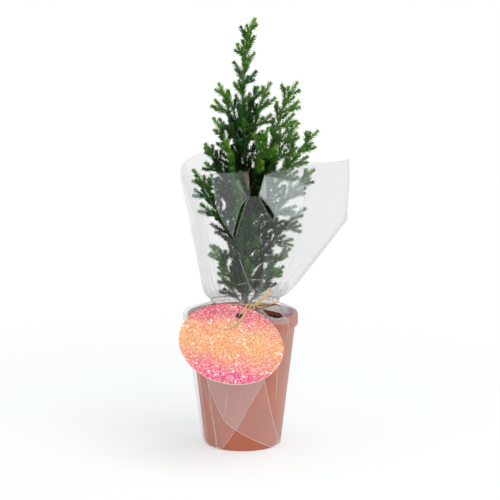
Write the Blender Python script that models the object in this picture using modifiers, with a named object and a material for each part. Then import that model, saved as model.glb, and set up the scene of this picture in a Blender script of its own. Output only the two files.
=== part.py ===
"""A young conifer in a terracotta pot, wrapped in clear film that raffia ties, with a round card tag.

Metres, +Z up. The origin is the centre of the pot's flat underside. The front faces -Y, with +X to the right.
"""

import math
import random
from collections import namedtuple

import bmesh
import bpy
from mathutils import Matrix, Vector, geometry, kdtree

MM = 0.001
UP = Vector((0, 0, 1))
GAP = 0.35 * MM
CLOSE = 1e-5

# Pot and soil
POT_HEIGHT = 102 * MM
POT_BASE_RADIUS = 29 * MM
POT_NECK_RADIUS = 39.8 * MM
RIM_RADIUS = 42 * MM
RIM_HEIGHT = 9.5 * MM
POT_WALL = 2 * MM
POT_FLOOR = 3 * MM
RIM_STEP = 1.4 * MM
RIM_BEAD = 2 * MM
POT_EDGE = 1.2 * MM
POT_STEPS = 40
SOIL_TOP = 93 * MM
SOIL_PLAY = 0.5 * MM
SOIL_EDGE = 1.5 * MM
SOIL_STEPS = 28

# Trunk
TRUNK_FOOT = Vector((2.6 * MM, 0.5 * MM, SOIL_TOP + GAP))
TRUNK_TOP = Vector((0.4 * MM, 0, 243 * MM))
TRUNK_SWAY = 1.2 * MM
TRUNK_FOOT_RADIUS = 3 * MM
TRUNK_TOP_RADIUS = 1 * MM
ROOT_FLARE = 1.9 * MM
FLARE_HEIGHT = 3.5 * MM
TRUNK_RINGS = 16

# Boughs: the height they leave the trunk at, the direction they grow in (degrees, 0 right and 90 back),
# how far out and how high the tip is, the bare limb's length and the longest side shoot, in millimetres
Bough = namedtuple("Bough", "name root turn reach height bare side")
BOUGHS = (
    Bough("crown_right", 240, 24, 12, 270, 0, 9),
    Bough("crown_left", 236, 196, 12, 266, 0, 9),
    Bough("crown_front", 212, 275, 13, 247, 0, 11),
    Bough("crown_back", 198, 112, 17, 240, 0, 11),
    Bough("high_left", 222, 167, 17.5, 273, 0, 14),
    Bough("high_right", 228, 343, 21, 274, 0, 14),
    Bough("high_back", 214, 76, 21, 262, 0, 14),
    Bough("tall_right", 190, 11, 41, 273.5, 24, 17),
    Bough("mid_right", 180, 341, 43, 245, 20, 16),
    Bough("far_right", 167, 1, 55.5, 238, 24, 17),
    Bough("mid_left", 200, 203, 22.5, 248, 16, 14),
    Bough("far_left", 174, 160, 29, 227.5, 18, 15),
    Bough("front_right", 184, 308, 30, 242, 18, 14),
    Bough("front_left", 174, 242, 26, 233, 18, 14),
    Bough("back_left", 158, 126, 34, 214, 18, 17),
    Bough("back_right", 162, 44, 34, 224, 20, 17),
    Bough("long_left", 146, 189, 36.5, 209.5, 16, 17),
    Bough("wide_right", 150, 5, 53, 208.5, 20, 15),
    Bough("front_mid", 140, 264, 30, 203, 0, 16),
    Bough("under_right", 133, 348, 46.5, 181, 18, 16),
    Bough("front_low", 124, 288, 26, 178, 0, 15),
    Bough("back_low", 121, 86, 28.5, 172, 0, 16),
    Bough("low_left", 113, 166, 24.5, 150.5, 0, 13),
    Bough("low_right", 117, 13, 36, 148, 0, 14),
    Bough("foot_front", 109, 282, 18, 143, 0, 11),
    Bough("foot_back", 108, 104, 20, 140, 0, 12),
    Bough("foot_left", 106, 215, 21, 132.5, 0, 11),
    Bough("foot_right", 106, 342, 31, 137, 0, 12),
)
LIMB_RADIUS = 1.25 * MM
LIMB_TIP_RADIUS = 0.75 * MM
LIMB_RING = 6 * MM
# A bough leaves the trunk at one angle above the level and nods at its tip.
# Its line keeps to each of these ways for a share of its length.
LEAVING = math.radians(32)
NOD = math.radians(9)
LOW_PULL = 0.22
HIGH_PULL = 0.38
CURVE_STEPS = 60

# Foliage: needle-clad shoots, all of one build
NEEDLE = 2.5 * MM
NEEDLE_LEAN = 0.8
TIP_NEEDLE = 0.6
NEEDLE_RING = 4.5 * MM
STEM_CORE = 1.1 * MM
SHOOT_CORE = 1.05 * MM
SHOOT_ROOT = 0.6 * MM
TIP_CORE = 0.7 * MM
CORE_TWIST = math.radians(35)
FINE = 1 * MM
FIRST_SHOOT = 7 * MM
LAST_SHOOT = 7 * MM
SHOOT_SPACING = 7 * MM
SPACING_SPREAD = (0.85, 1.15)
# A side shoot is a share of the stem beyond it, and this much more
SHOOT_SHARE = 0.42
SHOOT_EXTRA = 6 * MM
LENGTH_SPREAD = (0.85, 1.1)
# A shoot that doesn't fit is tried shorter, and left out under the least length
SHORTER_TRIES = (1, 0.75, 0.55)
LEAST_SHOOT = 4.8 * MM
SHOOT_ANGLE = (math.radians(36), math.radians(48))
SHOOT_CURL = math.radians(14)
SCATTER = math.radians(38)
# A long side shoot bears a twin of half its length
TWIN_FROM = 13 * MM
TWIN_AT = 0.45
TWIN_SHARE = 0.5
PAST_STEM = 3 * MM
TRUNK_BARE = 5 * MM
WIDEST = 5 * MM

# Leader: the needle-clad shoot that carries the trunk on to the plant's tip
LEADER = Bough("leader", 243, 0, 8.5, 322.8, 0, 12)
LEADER_LOW = Vector((0.8, 0, 275)) * MM
LEADER_HIGH = Vector((-0.4, 0, 305)) * MM

# Film: a skirt drawn over the pot, and above the tie an open bag with a wing folded flat on the right
FILM = 0.4 * MM
SKIRT_OFF = 0.5 * MM
SKIRT_FOOT = 0.9 * MM
SKIRT_STEPS = 32
UNDER_RIM = (2.5 * MM, 0.6 * MM)
WAIST_HEIGHT = 108.2 * MM
WAIST_CENTRE = 1.8 * MM
WAIST_SIDE = 25.5 * MM
WAIST_DEPTH = 20 * MM
# Height, reach to the left, reach to the right, and half the depth
BAG_ROWS = (
    (109.2, 23.7, 27.3, 20),
    (112.2, 24.3, 28.1, 20.4),
    (116, 28.7, 34.3, 23),
    (122, 30.7, 40.4, 26),
    (150, 35.6, 62.3, 31),
    (172, 39.1, 78.7, 35),
    (200, 45.3, 80.1, 38),
    (226, 48.2, 79.8, 39),
)
BAG_AROUND = 36
WING_PINCH = 0.66
MOUTH_HEIGHT = 215 * MM
MOUTH_BACK_RISE = 2.5 * MM
MOUTH_RIGHT_RISE = 3.6 * MM
BACK_LEFT_RISE = 7 * MM
BACK_RIGHT_DIP = 12 * MM
MOUTH_TOP = 223 * MM
NOTCH_FOOT = Vector((8.4, -36, 190)) * MM
NOTCH_WIDTH = 18 * MM
NOTCH_RISE = 26 * MM
NOTCH_DEPTH = 30 * MM
FILM_MARGIN = 1.2

# Tag: a round card that leans back on the rim, with a metal eyelet near its top
TAG_CENTRE = Vector((-8.2, -63.6, 90.5)) * MM
TAG_NORMAL = Vector((0.152, -0.59, 0.793)).normalized()
TAG_RADIUS = 38.3 * MM
TAG_THICKNESS = 0.6 * MM
TAG_HOLE_AT = (11.1 * MM, 25.8 * MM)
TAG_HOLE_RADIUS = 1.9 * MM
EYELET_RADIUS = 2.5 * MM
EYELET_BORE = 1.2 * MM
EYELET_LIP = 0.35 * MM

# Raffia: strands through points in millimetres, those over the card along its own axes from its hole
RAFFIA_RADIUS = 0.8 * MM
THIN_STRAND = 0.8
TIE_STRAND = 0.75
STRAND_STEP = 2.4 * MM
BAND_HEIGHT = 110.6 * MM
KNOT_CENTRE = Vector((7.2, -24.6, 109.7)) * MM
KNOT_RADIUS = 2.3 * MM
KNOT_SHAPE = (1, 0.8, 0.85)
LONG_END = ((9.2, -26.3, 111.1), (13.4, -27.5, 115.2), (17.7, -29, 119.7), (21.9, -30, 124.5))
SHORT_END = ((9.9, -24.9, 110), (14.6, -25.8, 110.4), (20, -27, 112), (25, -28, 114.9))
TIE_FROM_KNOT = Vector((-2.2, -2.2, 0.9)) * MM
TIE_OVER_CARD = ((8.2, 9.3, 1.4), (6, 6.2, 2.6), (2.9, 2.4, 2.8), (0.5, 0.4, 2), (0, 0, 0.8), (0, 0, -1.6))
TAIL_FROM_KNOT = Vector((-0.6, -2.9, -0.3)) * MM
TAIL_OVER_CARD = (
    (10.3, 7.8, 1.6),
    (8.2, 5, 2.4),
    (5, 1.3, 2.4),
    (0.4, -4.5, 1.5),
    (-6.6, -10.4, 1.2),
    (-13.3, -13.3, 1.2),
)

for old in list(bpy.data.objects):
    bpy.data.objects.remove(old, do_unlink=True)

parts = bpy.data.collections.new("potted conifer")
cutters = bpy.data.collections.new("cutters")
for group in (parts, cutters):
    bpy.context.scene.collection.children.link(group)


def finish(name, colour, roughness, metallic=0.0, alpha=1.0):
    """A material with the real surface's colour and gloss."""
    surface = bpy.data.materials.new(name)
    surface.use_nodes = True
    shader = surface.node_tree.nodes["Principled BSDF"]
    shader.inputs["Base Color"].default_value = (*colour, 1)
    shader.inputs["Roughness"].default_value = roughness
    shader.inputs["Metallic"].default_value = metallic
    shader.inputs["Alpha"].default_value = alpha
    return surface


TERRACOTTA = finish("terracotta plastic", (0.56, 0.2, 0.11), 0.55)
SOIL = finish("peat", (0.05, 0.032, 0.022), 0.95)
BARK = finish("bark", (0.16, 0.085, 0.045), 0.85)
FOLIAGE = finish("foliage", (0.07, 0.22, 0.03), 0.55)
CLEAR_FILM = finish("clear film", (0.85, 0.87, 0.88), 0.1, alpha=0.3)
RAFFIA = finish("raffia", (0.68, 0.5, 0.25), 0.7)
CARD = finish("printed card", (0.88, 0.36, 0.25), 0.4)
EYELET = finish("dark metal", (0.12, 0.13, 0.12), 0.35, metallic=0.9)


def add_piece(name, mesh, surface, group=parts):
    """A new object for a mesh or a curve, in its collection and with its material."""
    piece = bpy.data.objects.new(name, mesh)
    mesh.materials.append(surface)
    group.objects.link(piece)
    return piece


def turned(name, profile, steps, surface):
    """A round piece: the profile (radius, height), turned about the vertical axis."""
    mesh = bpy.data.meshes.new(name)
    corners = [(radius, 0, height) for radius, height in profile]
    mesh.from_pydata(corners, [(i, i + 1) for i in range(len(corners) - 1)], [])
    piece = add_piece(name, mesh, surface)
    screw = piece.modifiers.new("turn", "SCREW")
    screw.steps = steps
    screw.render_steps = steps
    screw.use_merge_vertices = True
    screw.merge_threshold = CLOSE
    screw.use_smooth_shade = True
    return piece


def round_over(centre, radius, start, end, count):
    """Points (radius, height) along an arc, angles in degrees from straight out."""
    angles = (math.radians(start + (end - start) * i / (count - 1)) for i in range(count))
    return [(centre[0] + radius * math.cos(a), centre[1] + radius * math.sin(a)) for a in angles]


def pot_outer_radius(height):
    """The tapered body's radius, which the inner wall and the film follow."""
    share = height / (POT_HEIGHT - RIM_HEIGHT)
    return POT_BASE_RADIUS + (POT_NECK_RADIUS - POT_BASE_RADIUS) * share


def make_pot():
    """A tapered pot with a rolled rim and a flat underside."""
    rim_foot = POT_HEIGHT - RIM_HEIGHT
    inside_floor = pot_outer_radius(POT_FLOOR) - POT_WALL
    inside_top = RIM_RADIUS - POT_WALL - RIM_STEP
    profile = [(0, POT_FLOOR), (inside_floor, POT_FLOOR), (inside_top, POT_HEIGHT - POT_EDGE)]
    profile += [(inside_top + POT_EDGE / 2, POT_HEIGHT)]
    profile += round_over((RIM_RADIUS - RIM_BEAD, POT_HEIGHT - RIM_BEAD), RIM_BEAD, 90, 0, 4)
    profile += [(RIM_RADIUS, rim_foot + POT_EDGE), (RIM_RADIUS - POT_EDGE / 2, rim_foot)]
    profile += [(POT_NECK_RADIUS, rim_foot - POT_EDGE / 3), (pot_outer_radius(POT_EDGE), POT_EDGE)]
    profile += [(POT_BASE_RADIUS - POT_EDGE, 0), (0, 0)]
    return turned("pot", profile, POT_STEPS, TERRACOTTA)


def make_soil():
    """The peat that fills the pot to below its rim, flat round the trunk."""
    foot = POT_FLOOR + GAP
    foot_radius = pot_outer_radius(foot) - POT_WALL - GAP
    wall_slope = (RIM_RADIUS - RIM_STEP - pot_outer_radius(0)) / POT_HEIGHT
    top_radius = foot_radius + (SOIL_TOP - foot) * wall_slope - SOIL_PLAY
    profile = [(0, SOIL_TOP), (top_radius * 0.6, SOIL_TOP), (top_radius, SOIL_TOP - SOIL_EDGE)]
    profile += [(foot_radius, foot), (0, foot)]
    return turned("soil", profile, SOIL_STEPS, SOIL)


def tube(name, points, radii, surface, corners=6):
    """A tapering round limb or strand: a curve with a bevel and filled ends."""
    curve = bpy.data.curves.new(name, "CURVE")
    curve.dimensions = "3D"
    curve.bevel_depth = 1
    curve.bevel_resolution = corners // 2 - 2
    curve.use_fill_caps = True
    spline = curve.splines.new("POLY")
    spline.points.add(len(points) - 1)
    for knot, place, radius in zip(spline.points, points, radii):
        knot.co = (*place, 1)
        knot.radius = radius
    spline.use_smooth = True
    return add_piece(name, curve, surface)


def trunk_point(height):
    """The trunk's centre at a height: a slight lean and a slow double bend."""
    share = (height - TRUNK_FOOT.z) / (TRUNK_TOP.z - TRUNK_FOOT.z)
    place = TRUNK_FOOT.lerp(TRUNK_TOP, share)
    place.x -= TRUNK_SWAY * math.sin(math.tau * share)
    place.y += TRUNK_SWAY * math.sin(math.pi * share)
    return place


def trunk_radius(height):
    """Tapers upward, with a flare at the root."""
    share = (height - TRUNK_FOOT.z) / (TRUNK_TOP.z - TRUNK_FOOT.z)
    taper = TRUNK_TOP_RADIUS + (TRUNK_FOOT_RADIUS - TRUNK_TOP_RADIUS) * (1 - share)
    return taper + ROOT_FLARE * math.exp(-(height - TRUNK_FOOT.z) / FLARE_HEIGHT)


def make_trunk():
    """One stem from its flat cut on the soil to where the leader takes over."""
    rise = TRUNK_TOP.z - TRUNK_FOOT.z
    heights = [TRUNK_FOOT.z + rise * (i / TRUNK_RINGS) ** 1.5 for i in range(TRUNK_RINGS + 1)]
    heights.insert(1, TRUNK_FOOT.z + FLARE_HEIGHT / 4)
    points = [trunk_point(height) for height in heights]
    points[1].x, points[1].y = points[0].x, points[0].y
    return tube("trunk", points, [trunk_radius(height) for height in heights], BARK, corners=10)


def evenly(points, step):
    """The same line with its points about a step apart, first and last kept."""
    lengths = [0]
    for here, after in zip(points, points[1:]):
        lengths.append(lengths[-1] + (after - here).length)
    count = max(1, round(lengths[-1] / step))
    line = []
    k = 0
    for i in range(count + 1):
        along = lengths[-1] * i / count
        while k < len(points) - 2 and lengths[k + 1] < along:
            k += 1
        share = (along - lengths[k]) / (lengths[k + 1] - lengths[k])
        line.append(points[k].lerp(points[k + 1], share))
    return line


def outward(turn):
    """A level direction, from its angle in degrees."""
    return Vector((math.cos(math.radians(turn)), math.sin(math.radians(turn)), 0))


def guide(bough):
    """A bough's whole line, from the trunk's centre to the tip of its foliage, in fine steps."""
    tip = outward(bough.turn) * bough.reach * MM + UP * bough.height * MM
    if bough is LEADER:
        line = geometry.interpolate_bezier(TRUNK_TOP + UP * GAP, LEADER_LOW, LEADER_HIGH, tip, CURVE_STEPS)
        return evenly(line, FINE)
    root = trunk_point(bough.root * MM)
    away = Vector((tip.x - root.x, tip.y - root.y, 0))
    climb = math.atan2(tip.z - root.z, away.length)
    length = (tip - root).length
    away.normalize()
    first = root + (away * math.cos(LEAVING) + UP * math.sin(LEAVING)) * length * LOW_PULL
    last = tip - (away * math.cos(climb - NOD) + UP * math.sin(climb - NOD)) * length * HIGH_PULL
    return evenly(geometry.interpolate_bezier(root, first, last, tip, CURVE_STEPS), FINE)


def split_guide(bough):
    """The line's bare limb, clear of the trunk, and the stem of its foliage, clear of the limb."""
    line = guide(bough)
    if bough is LEADER:
        return [], line
    thick = LIMB_RADIUS if bough.bare else STEM_CORE
    off_trunk = trunk_radius(bough.root * MM) + GAP + thick * math.sin(LEAVING)
    start = round(off_trunk / math.cos(LEAVING) / FINE + 0.5)
    if not bough.bare:
        return [], line[start:]
    meeting = start + round(bough.bare * MM / FINE)
    limb = line[start:meeting + 1]
    stem = line[meeting:]
    stem[0] = stem[0] + (stem[1] - stem[0]).normalized() * GAP
    return limb, stem


LINES = {bough.name: split_guide(bough) for bough in (LEADER, *BOUGHS)}


def make_boughs():
    """The bare lower length of each larger bough: one tapering limb."""
    for bough in BOUGHS:
        limb = LINES[bough.name][0]
        if limb:
            points = evenly(limb, LIMB_RING)
            last = len(points) - 1
            radii = [LIMB_RADIUS + (LIMB_TIP_RADIUS - LIMB_RADIUS) * i / last for i in range(last + 1)]
            tube("bough_" + bough.name, points, radii, BARK)


def point_tree(points):
    """Points to look the nearest up in."""
    tree = kdtree.KDTree(len(points))
    for i, place in enumerate(points):
        tree.insert(place, i)
    tree.balance()
    return tree


class Claims:
    """The room taken so far: points with a radius round each, and the mass that each belongs to."""

    def __init__(self):
        self.rows = []
        self.tree = None

    def add(self, owner, places, radius):
        self.rows += [(place, radius, owner) for place in places]
        self.tree = point_tree([row[0] for row in self.rows])

    def leave_room(self, owner, place, reach):
        """Whether needles of this reach stay clear of every limb and of every other mass."""
        for _, index, distance in self.tree.find_range(place, reach + WIDEST + GAP):
            _, radius, other = self.rows[index]
            if other != owner and distance < reach + radius + GAP:
                return False
        return True


CLAIMS = Claims()
TRUNK_HEIGHTS = [TRUNK_FOOT.z + i * FINE for i in range(int((TRUNK_TOP.z - TRUNK_FOOT.z) / FINE) + 1)]
for level in TRUNK_HEIGHTS:
    CLAIMS.rows.append((trunk_point(level), trunk_radius(level), "trunk"))
for bough_name, (bare_limb, leafy_stem) in LINES.items():
    CLAIMS.rows += [(spot, LIMB_RADIUS, "limb") for spot in bare_limb]
    CLAIMS.add(bough_name, leafy_stem, STEM_CORE)


def bag_reach(height):
    """How far the bag reaches left, right and deep at a height."""
    rows = [[value * MM for value in row] for row in BAG_ROWS]
    if height <= rows[0][0]:
        return rows[0][1:]
    for low, high in zip(rows, rows[1:]):
        if height <= high[0]:
            share = (height - low[0]) / (high[0] - low[0])
            return [a + (b - a) * share for a, b in zip(low[1:], high[1:])]
    return rows[-1][1:]


def bag_depth_at(across, height):
    """Half the bag's depth at a place across it, or nothing past its sides."""
    left, right, depth = bag_reach(height)
    share = across / right if across > 0 else -across / left
    if share >= 1:
        return 0
    pinch = 1 - WING_PINCH * share if across > 0 else 1
    return depth * math.sqrt(1 - share * share) * pinch


def mouth_height(turn):
    """The bag's open edge: highest at the back on the left, lowest at the back on the right."""
    back, right = math.sin(turn), math.cos(turn)
    edge = MOUTH_HEIGHT + MOUTH_BACK_RISE * back + MOUTH_RIGHT_RISE * right
    corner = BACK_RIGHT_DIP if right > 0 else BACK_LEFT_RISE
    return edge - corner * 2 * right * max(0, back)


def inside_film(place, reach):
    """Whether a shoot here stays inside the bag, or stands clear above it."""
    if place.z - reach > MOUTH_TOP:
        return True
    room = bag_depth_at(place.x, place.z) - FILM - GAP - reach * FILM_MARGIN
    return abs(place.y) < room and place.z - reach > SOIL_TOP + GAP


def in_own_space(name, place, reach):
    """Whether needles of this reach here stay in the mass's own space, off every limb and off the film."""
    return CLAIMS.leave_room(name, place, reach) and inside_film(place, reach)


def carried_frames(points):
    """A direction and two sideways directions at each point, with no twist along the line."""
    frames = []
    side = None
    for i in range(len(points)):
        ahead = (points[min(i + 1, len(points) - 1)] - points[max(i - 1, 0)]).normalized()
        if side is None:
            side = ahead.orthogonal()
        side = (side - ahead * side.dot(ahead)).normalized()
        frames.append((ahead, side, ahead.cross(side)))
    return frames


def needle_shoot(name, line, cores, clad):
    """A three-sided core along a line. Where it is clad, each of its faces stands out as a needle."""
    steps = len(line) - 1
    shape = bmesh.new()
    middle = Matrix.Translation((0, 0, steps / 2))
    bmesh.ops.create_cone(
        shape, cap_ends=True, segments=3, radius1=1, radius2=1, depth=steps, matrix=middle
    )
    if steps > 1:
        long_edges = [e for e in shape.edges if abs(e.verts[0].co.z - e.verts[1].co.z) > steps / 2]
        bmesh.ops.subdivide_edges(shape, edges=long_edges, cuts=steps - 1)
    sides = [f for f in shape.faces if abs(f.normal.z) < 0.5 and clad(f.calc_center_median().z)]
    needles = bmesh.ops.poke(shape, faces=sides)["verts"]
    for vert in needles:
        shrink = TIP_NEEDLE if vert.co.z > steps - 1 else 1
        level = cores[min(int(vert.co.z), steps - 1)]
        vert.co.xy = vert.co.xy.normalized() * (NEEDLE * shrink / level)
        vert.co.z += NEEDLE_LEAN
    frames = carried_frames(line)
    for vert in shape.verts:
        place_on_line(vert, line, frames, cores)
    bmesh.ops.triangulate(shape, faces=shape.faces)
    bmesh.ops.recalc_face_normals(shape, faces=shape.faces)
    mesh = bpy.data.meshes.new(name)
    shape.to_mesh(mesh)
    shape.free()
    return bpy.data.objects.new(name, mesh)


def place_on_line(vert, line, frames, cores):
    """Carries a point of the straight shoot, whose height counts line points, onto its line."""
    last = len(line) - 1
    k = min(int(vert.co.z), last - 1)
    share = vert.co.z - k
    centre = line[k] + (line[k + 1] - line[k]) * share
    core = cores[k] + (cores[k + 1] - cores[k]) * min(share, 1)
    ahead, side, across = frames[min(round(vert.co.z), last)]
    angle = math.atan2(vert.co.y, vert.co.x) + CORE_TWIST * vert.co.z
    radius = vert.co.xy.length * core
    vert.co = centre + (side * math.cos(angle) + across * math.sin(angle)) * radius


def tapered(first, last, count):
    """Core radii from one end to the other, drawn in at the very tip."""
    radii = [first + (last - first) * i / max(count - 1, 1) for i in range(count)]
    radii[-1] *= 0.6
    return radii


def shoot_line(root, ahead, sideways, roll, angle, length):
    """A side shoot's line: it leaves its stem at an angle, then curls up towards the stem's way."""
    out = sideways * math.cos(roll) + ahead.cross(sideways) * math.sin(roll)
    line = [root.copy()]
    for i in range(round(length / FINE)):
        bend = angle - SHOOT_CURL * i * FINE / length
        line.append(line[-1] + (ahead * math.cos(bend) + out * math.sin(bend)) * FINE)
    return line


def fitting_shoot(name, *way, length):
    """The longest of a few lengths whose needles stay in the mass's space, or nothing."""
    for share in SHORTER_TRIES:
        line = shoot_line(*way, length * share)
        past_stem = line[round(PAST_STEM / FINE):]
        if length * share >= LEAST_SHOOT and all(in_own_space(name, place, NEEDLE) for place in past_stem):
            CLAIMS.add(name, past_stem, NEEDLE)
            return line
    return None


def twin_shoot(bough, line, ahead, roll, size):
    """The shoot that a long side shoot bears half way along, turned back towards the stem's way."""
    root = line[round(len(line) * TWIN_AT)]
    along = (line[-1] - line[0]).normalized()
    flat = (ahead - along * ahead.dot(along)).normalized()
    roll = math.pi + roll / 4
    return fitting_shoot(bough.name, root, along, flat, roll, SHOOT_ANGLE[0], length=size * TWIN_SHARE)


def side_shoots(bough, stem):
    """Shoots left and right up the stem by turns, shorter towards its tip, the long ones with a twin."""
    draw = random.Random(bough.name)
    frames = carried_frames(stem)
    length = (len(stem) - 1) * FINE
    lines = []
    along = FIRST_SHOOT
    side = draw.choice((0, math.pi))
    while along < length - LAST_SHOOT:
        root = stem[round(along / FINE)]
        ahead = frames[round(along / FINE)][0]
        sideways = outward(bough.turn)
        sideways = (sideways - ahead * sideways.dot(ahead)).normalized()
        size = min(bough.side * MM, SHOOT_SHARE * (length - along) + SHOOT_EXTRA)
        size *= draw.uniform(*LENGTH_SPREAD)
        roll = side + draw.uniform(-SCATTER, SCATTER)
        angle = draw.uniform(*SHOOT_ANGLE)
        line = fitting_shoot(bough.name, root, ahead, sideways, roll, angle, length=size)
        if line:
            lines.append(line)
            twin = twin_shoot(bough, line, ahead, roll, size) if (len(line) - 1) * FINE > TWIN_FROM else None
            if twin:
                lines.append(twin)
        along += SHOOT_SPACING * draw.uniform(*SPACING_SPREAD)
        side = math.pi - side
    return lines


def largest_body(mesh):
    """Drops loose scraps, and the walls of hollows that fusing has sealed."""
    shape = bmesh.new()
    shape.from_mesh(mesh)
    bmesh.ops.remove_doubles(shape, verts=shape.verts, dist=CLOSE / 5)
    left = set(shape.verts)
    bodies = []
    while left:
        body = {left.pop()}
        edge_of_body = set(body)
        while edge_of_body:
            near = {edge.other_vert(vert) for vert in edge_of_body for edge in vert.link_edges}
            edge_of_body = near & left
            body |= edge_of_body
            left -= edge_of_body
        bodies.append(body)
    kept = max(bodies, key=len)
    bmesh.ops.delete(shape, geom=[v for v in shape.verts if v not in kept], context="VERTS")
    shape.to_mesh(mesh)
    shape.free()


def fused(name, stem, shoots):
    """The stem and its shoots as one body, by a Boolean union, which is applied."""
    stem.data.materials.append(FOLIAGE)
    parts.objects.link(stem)
    if shoots:
        joined = bpy.data.collections.new(name + " shoots")
        bpy.context.scene.collection.children.link(joined)
        for shoot in shoots:
            joined.objects.link(shoot)
        union = stem.modifiers.new("union", "BOOLEAN")
        union.operation = "UNION"
        union.operand_type = "COLLECTION"
        union.collection = joined
        with bpy.context.temp_override(object=stem, active_object=stem):
            bpy.ops.object.modifier_apply(modifier="union")
        for shoot in shoots:
            bpy.data.objects.remove(shoot, do_unlink=True)
        bpy.data.collections.remove(joined)
    largest_body(stem.data)
    stem.name = name
    return stem


def clad_rings(bough):
    """The stretches of a mass's stem that bear needles, which they then claim the room for."""
    line = evenly(LINES[bough.name][1], NEEDLE_RING)
    bare = 0 if bough.bare or bough is LEADER else round(TRUNK_BARE / NEEDLE_RING)
    rings = set()
    for i in range(bare, len(line) - 1):
        stretch = [line[i].lerp(line[i + 1], share) for share in (0.2, 0.4, 0.6, 0.8, 1)]
        if all(in_own_space(bough.name, place, NEEDLE) for place in stretch):
            CLAIMS.add(bough.name, stretch, NEEDLE)
            rings.add(i)
    return line, rings


def make_foliage(bough, line, rings):
    """One mass: a needle-clad stem with needle-clad side shoots, in a space of its own."""
    name = "foliage_" + bough.name
    shoots = []
    for i, fine_line in enumerate(side_shoots(bough, LINES[bough.name][1])):
        shoot = evenly(fine_line, NEEDLE_RING)
        cores = [SHOOT_ROOT] + tapered(SHOOT_CORE, TIP_CORE, len(shoot) - 1)
        shoots.append(needle_shoot(f"{name} shoot {i}", shoot, cores, lambda level: level > 1))
    first = LIMB_TIP_RADIUS if bough.bare else STEM_CORE
    cores = [first] + tapered(SHOOT_CORE, TIP_CORE, len(line) - 1)
    body = needle_shoot(name, line, cores, lambda level: int(level) in rings)
    return fused(name, body, shoots)


def film_wall(name, around, along, place):
    """A tube of film: a flat grid rolled by place(turn, share of the height), closed and thickened."""
    sheet = bmesh.new()
    bmesh.ops.create_grid(sheet, x_segments=around, y_segments=along, size=0.5)
    for vert in sheet.verts:
        vert.co = place((vert.co.x + 0.5) * math.tau, vert.co.y + 0.5)
    bmesh.ops.remove_doubles(sheet, verts=sheet.verts, dist=CLOSE)
    bmesh.ops.recalc_face_normals(sheet, faces=sheet.faces)
    mesh = bpy.data.meshes.new(name)
    sheet.to_mesh(mesh)
    sheet.free()
    mesh.shade_smooth()
    wall = add_piece(name, mesh, CLEAR_FILM)
    thicken = wall.modifiers.new("thickness", "SOLIDIFY")
    thicken.thickness = FILM
    thicken.offset = 1
    return wall


def skirt_place(turn, share):
    """The skirt's inner face: up the pot's side, over the rim, and in to the waist."""
    stops = [(pot_outer_radius(SKIRT_FOOT) + SKIRT_OFF, SKIRT_FOOT)]
    stops += [(POT_NECK_RADIUS + SKIRT_OFF, POT_HEIGHT - RIM_HEIGHT - UNDER_RIM[0])]
    stops += [(RIM_RADIUS + SKIRT_OFF, POT_HEIGHT - RIM_HEIGHT - UNDER_RIM[1])]
    bead = (RIM_RADIUS - RIM_BEAD, POT_HEIGHT - RIM_BEAD)
    stops += round_over(bead, RIM_BEAD + SKIRT_OFF, 0, 75, 3)
    outer, top = stops[-1]
    stops += [(outer + (WAIST_SIDE - outer) * k / 3, top + (WAIST_HEIGHT - top) * k / 3) for k in (1, 2, 3)]
    k = round(share * (len(stops) - 1))
    radius, height = stops[k]
    squash = max(0, k - len(stops) + 4) / 3
    depth = radius * (1 + (WAIST_DEPTH / WAIST_SIDE - 1) * squash)
    return Vector((WAIST_CENTRE * squash + radius * math.cos(turn), depth * math.sin(turn), height))


def bag_place(turn, share):
    """The bag's inner face: an oval that opens upward, with its right side drawn out to a flat wing."""
    heights = [row[0] * MM for row in BAG_ROWS[:-1]] + [mouth_height(turn)]
    height = heights[round(share * (len(heights) - 1))]
    left, right, depth = bag_reach(height)
    across = math.cos(turn) * (right if math.cos(turn) > 0 else left)
    side = math.copysign(bag_depth_at(across, height), math.sin(turn))
    return Vector((across, side, height))


def make_notch():
    """A wedge that cuts the bag's front edge where two folds of film part."""
    wedge = bmesh.new()
    bmesh.ops.create_cone(wedge, cap_ends=True, segments=3, radius1=1, radius2=1, depth=1)
    stand = Matrix.Rotation(math.radians(90), 4, "X") @ Matrix.Rotation(math.radians(-90), 4, "Z")
    bmesh.ops.transform(wedge, matrix=stand, verts=wedge.verts)
    low = min(vert.co.z for vert in wedge.verts)
    rise = max(vert.co.z for vert in wedge.verts) - low
    wide = max(vert.co.x for vert in wedge.verts)
    for vert in wedge.verts:
        vert.co.x *= NOTCH_WIDTH / 2 / wide
        vert.co.y *= NOTCH_DEPTH
        vert.co.z = (vert.co.z - low) / rise * NOTCH_RISE
    bmesh.ops.recalc_face_normals(wedge, faces=wedge.faces)
    mesh = bpy.data.meshes.new("notch")
    wedge.to_mesh(mesh)
    wedge.free()
    cutter = add_piece("notch", mesh, CLEAR_FILM, cutters)
    cutter.location = NOTCH_FOOT
    cutter.hide_render = True
    cutter.display_type = "WIRE"
    return cutter


def make_film():
    """The skirt over the pot and the bag above the tie, a hair apart under the raffia."""
    film_wall("film_skirt", SKIRT_STEPS, 8, skirt_place)
    bag = film_wall("film_bag", BAG_AROUND, len(BAG_ROWS) - 1, bag_place)
    cut = bag.modifiers.new("notch", "BOOLEAN")
    cut.operation = "DIFFERENCE"
    cut.object = make_notch()


def tag_frame():
    """The card's place: its own X runs level across it and its own Y up its slope."""
    level = UP.cross(TAG_NORMAL).normalized()
    slope = TAG_NORMAL.cross(level)
    turn = Matrix((level, slope, TAG_NORMAL)).transposed().to_4x4()
    return Matrix.Translation(TAG_CENTRE) @ turn


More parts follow.
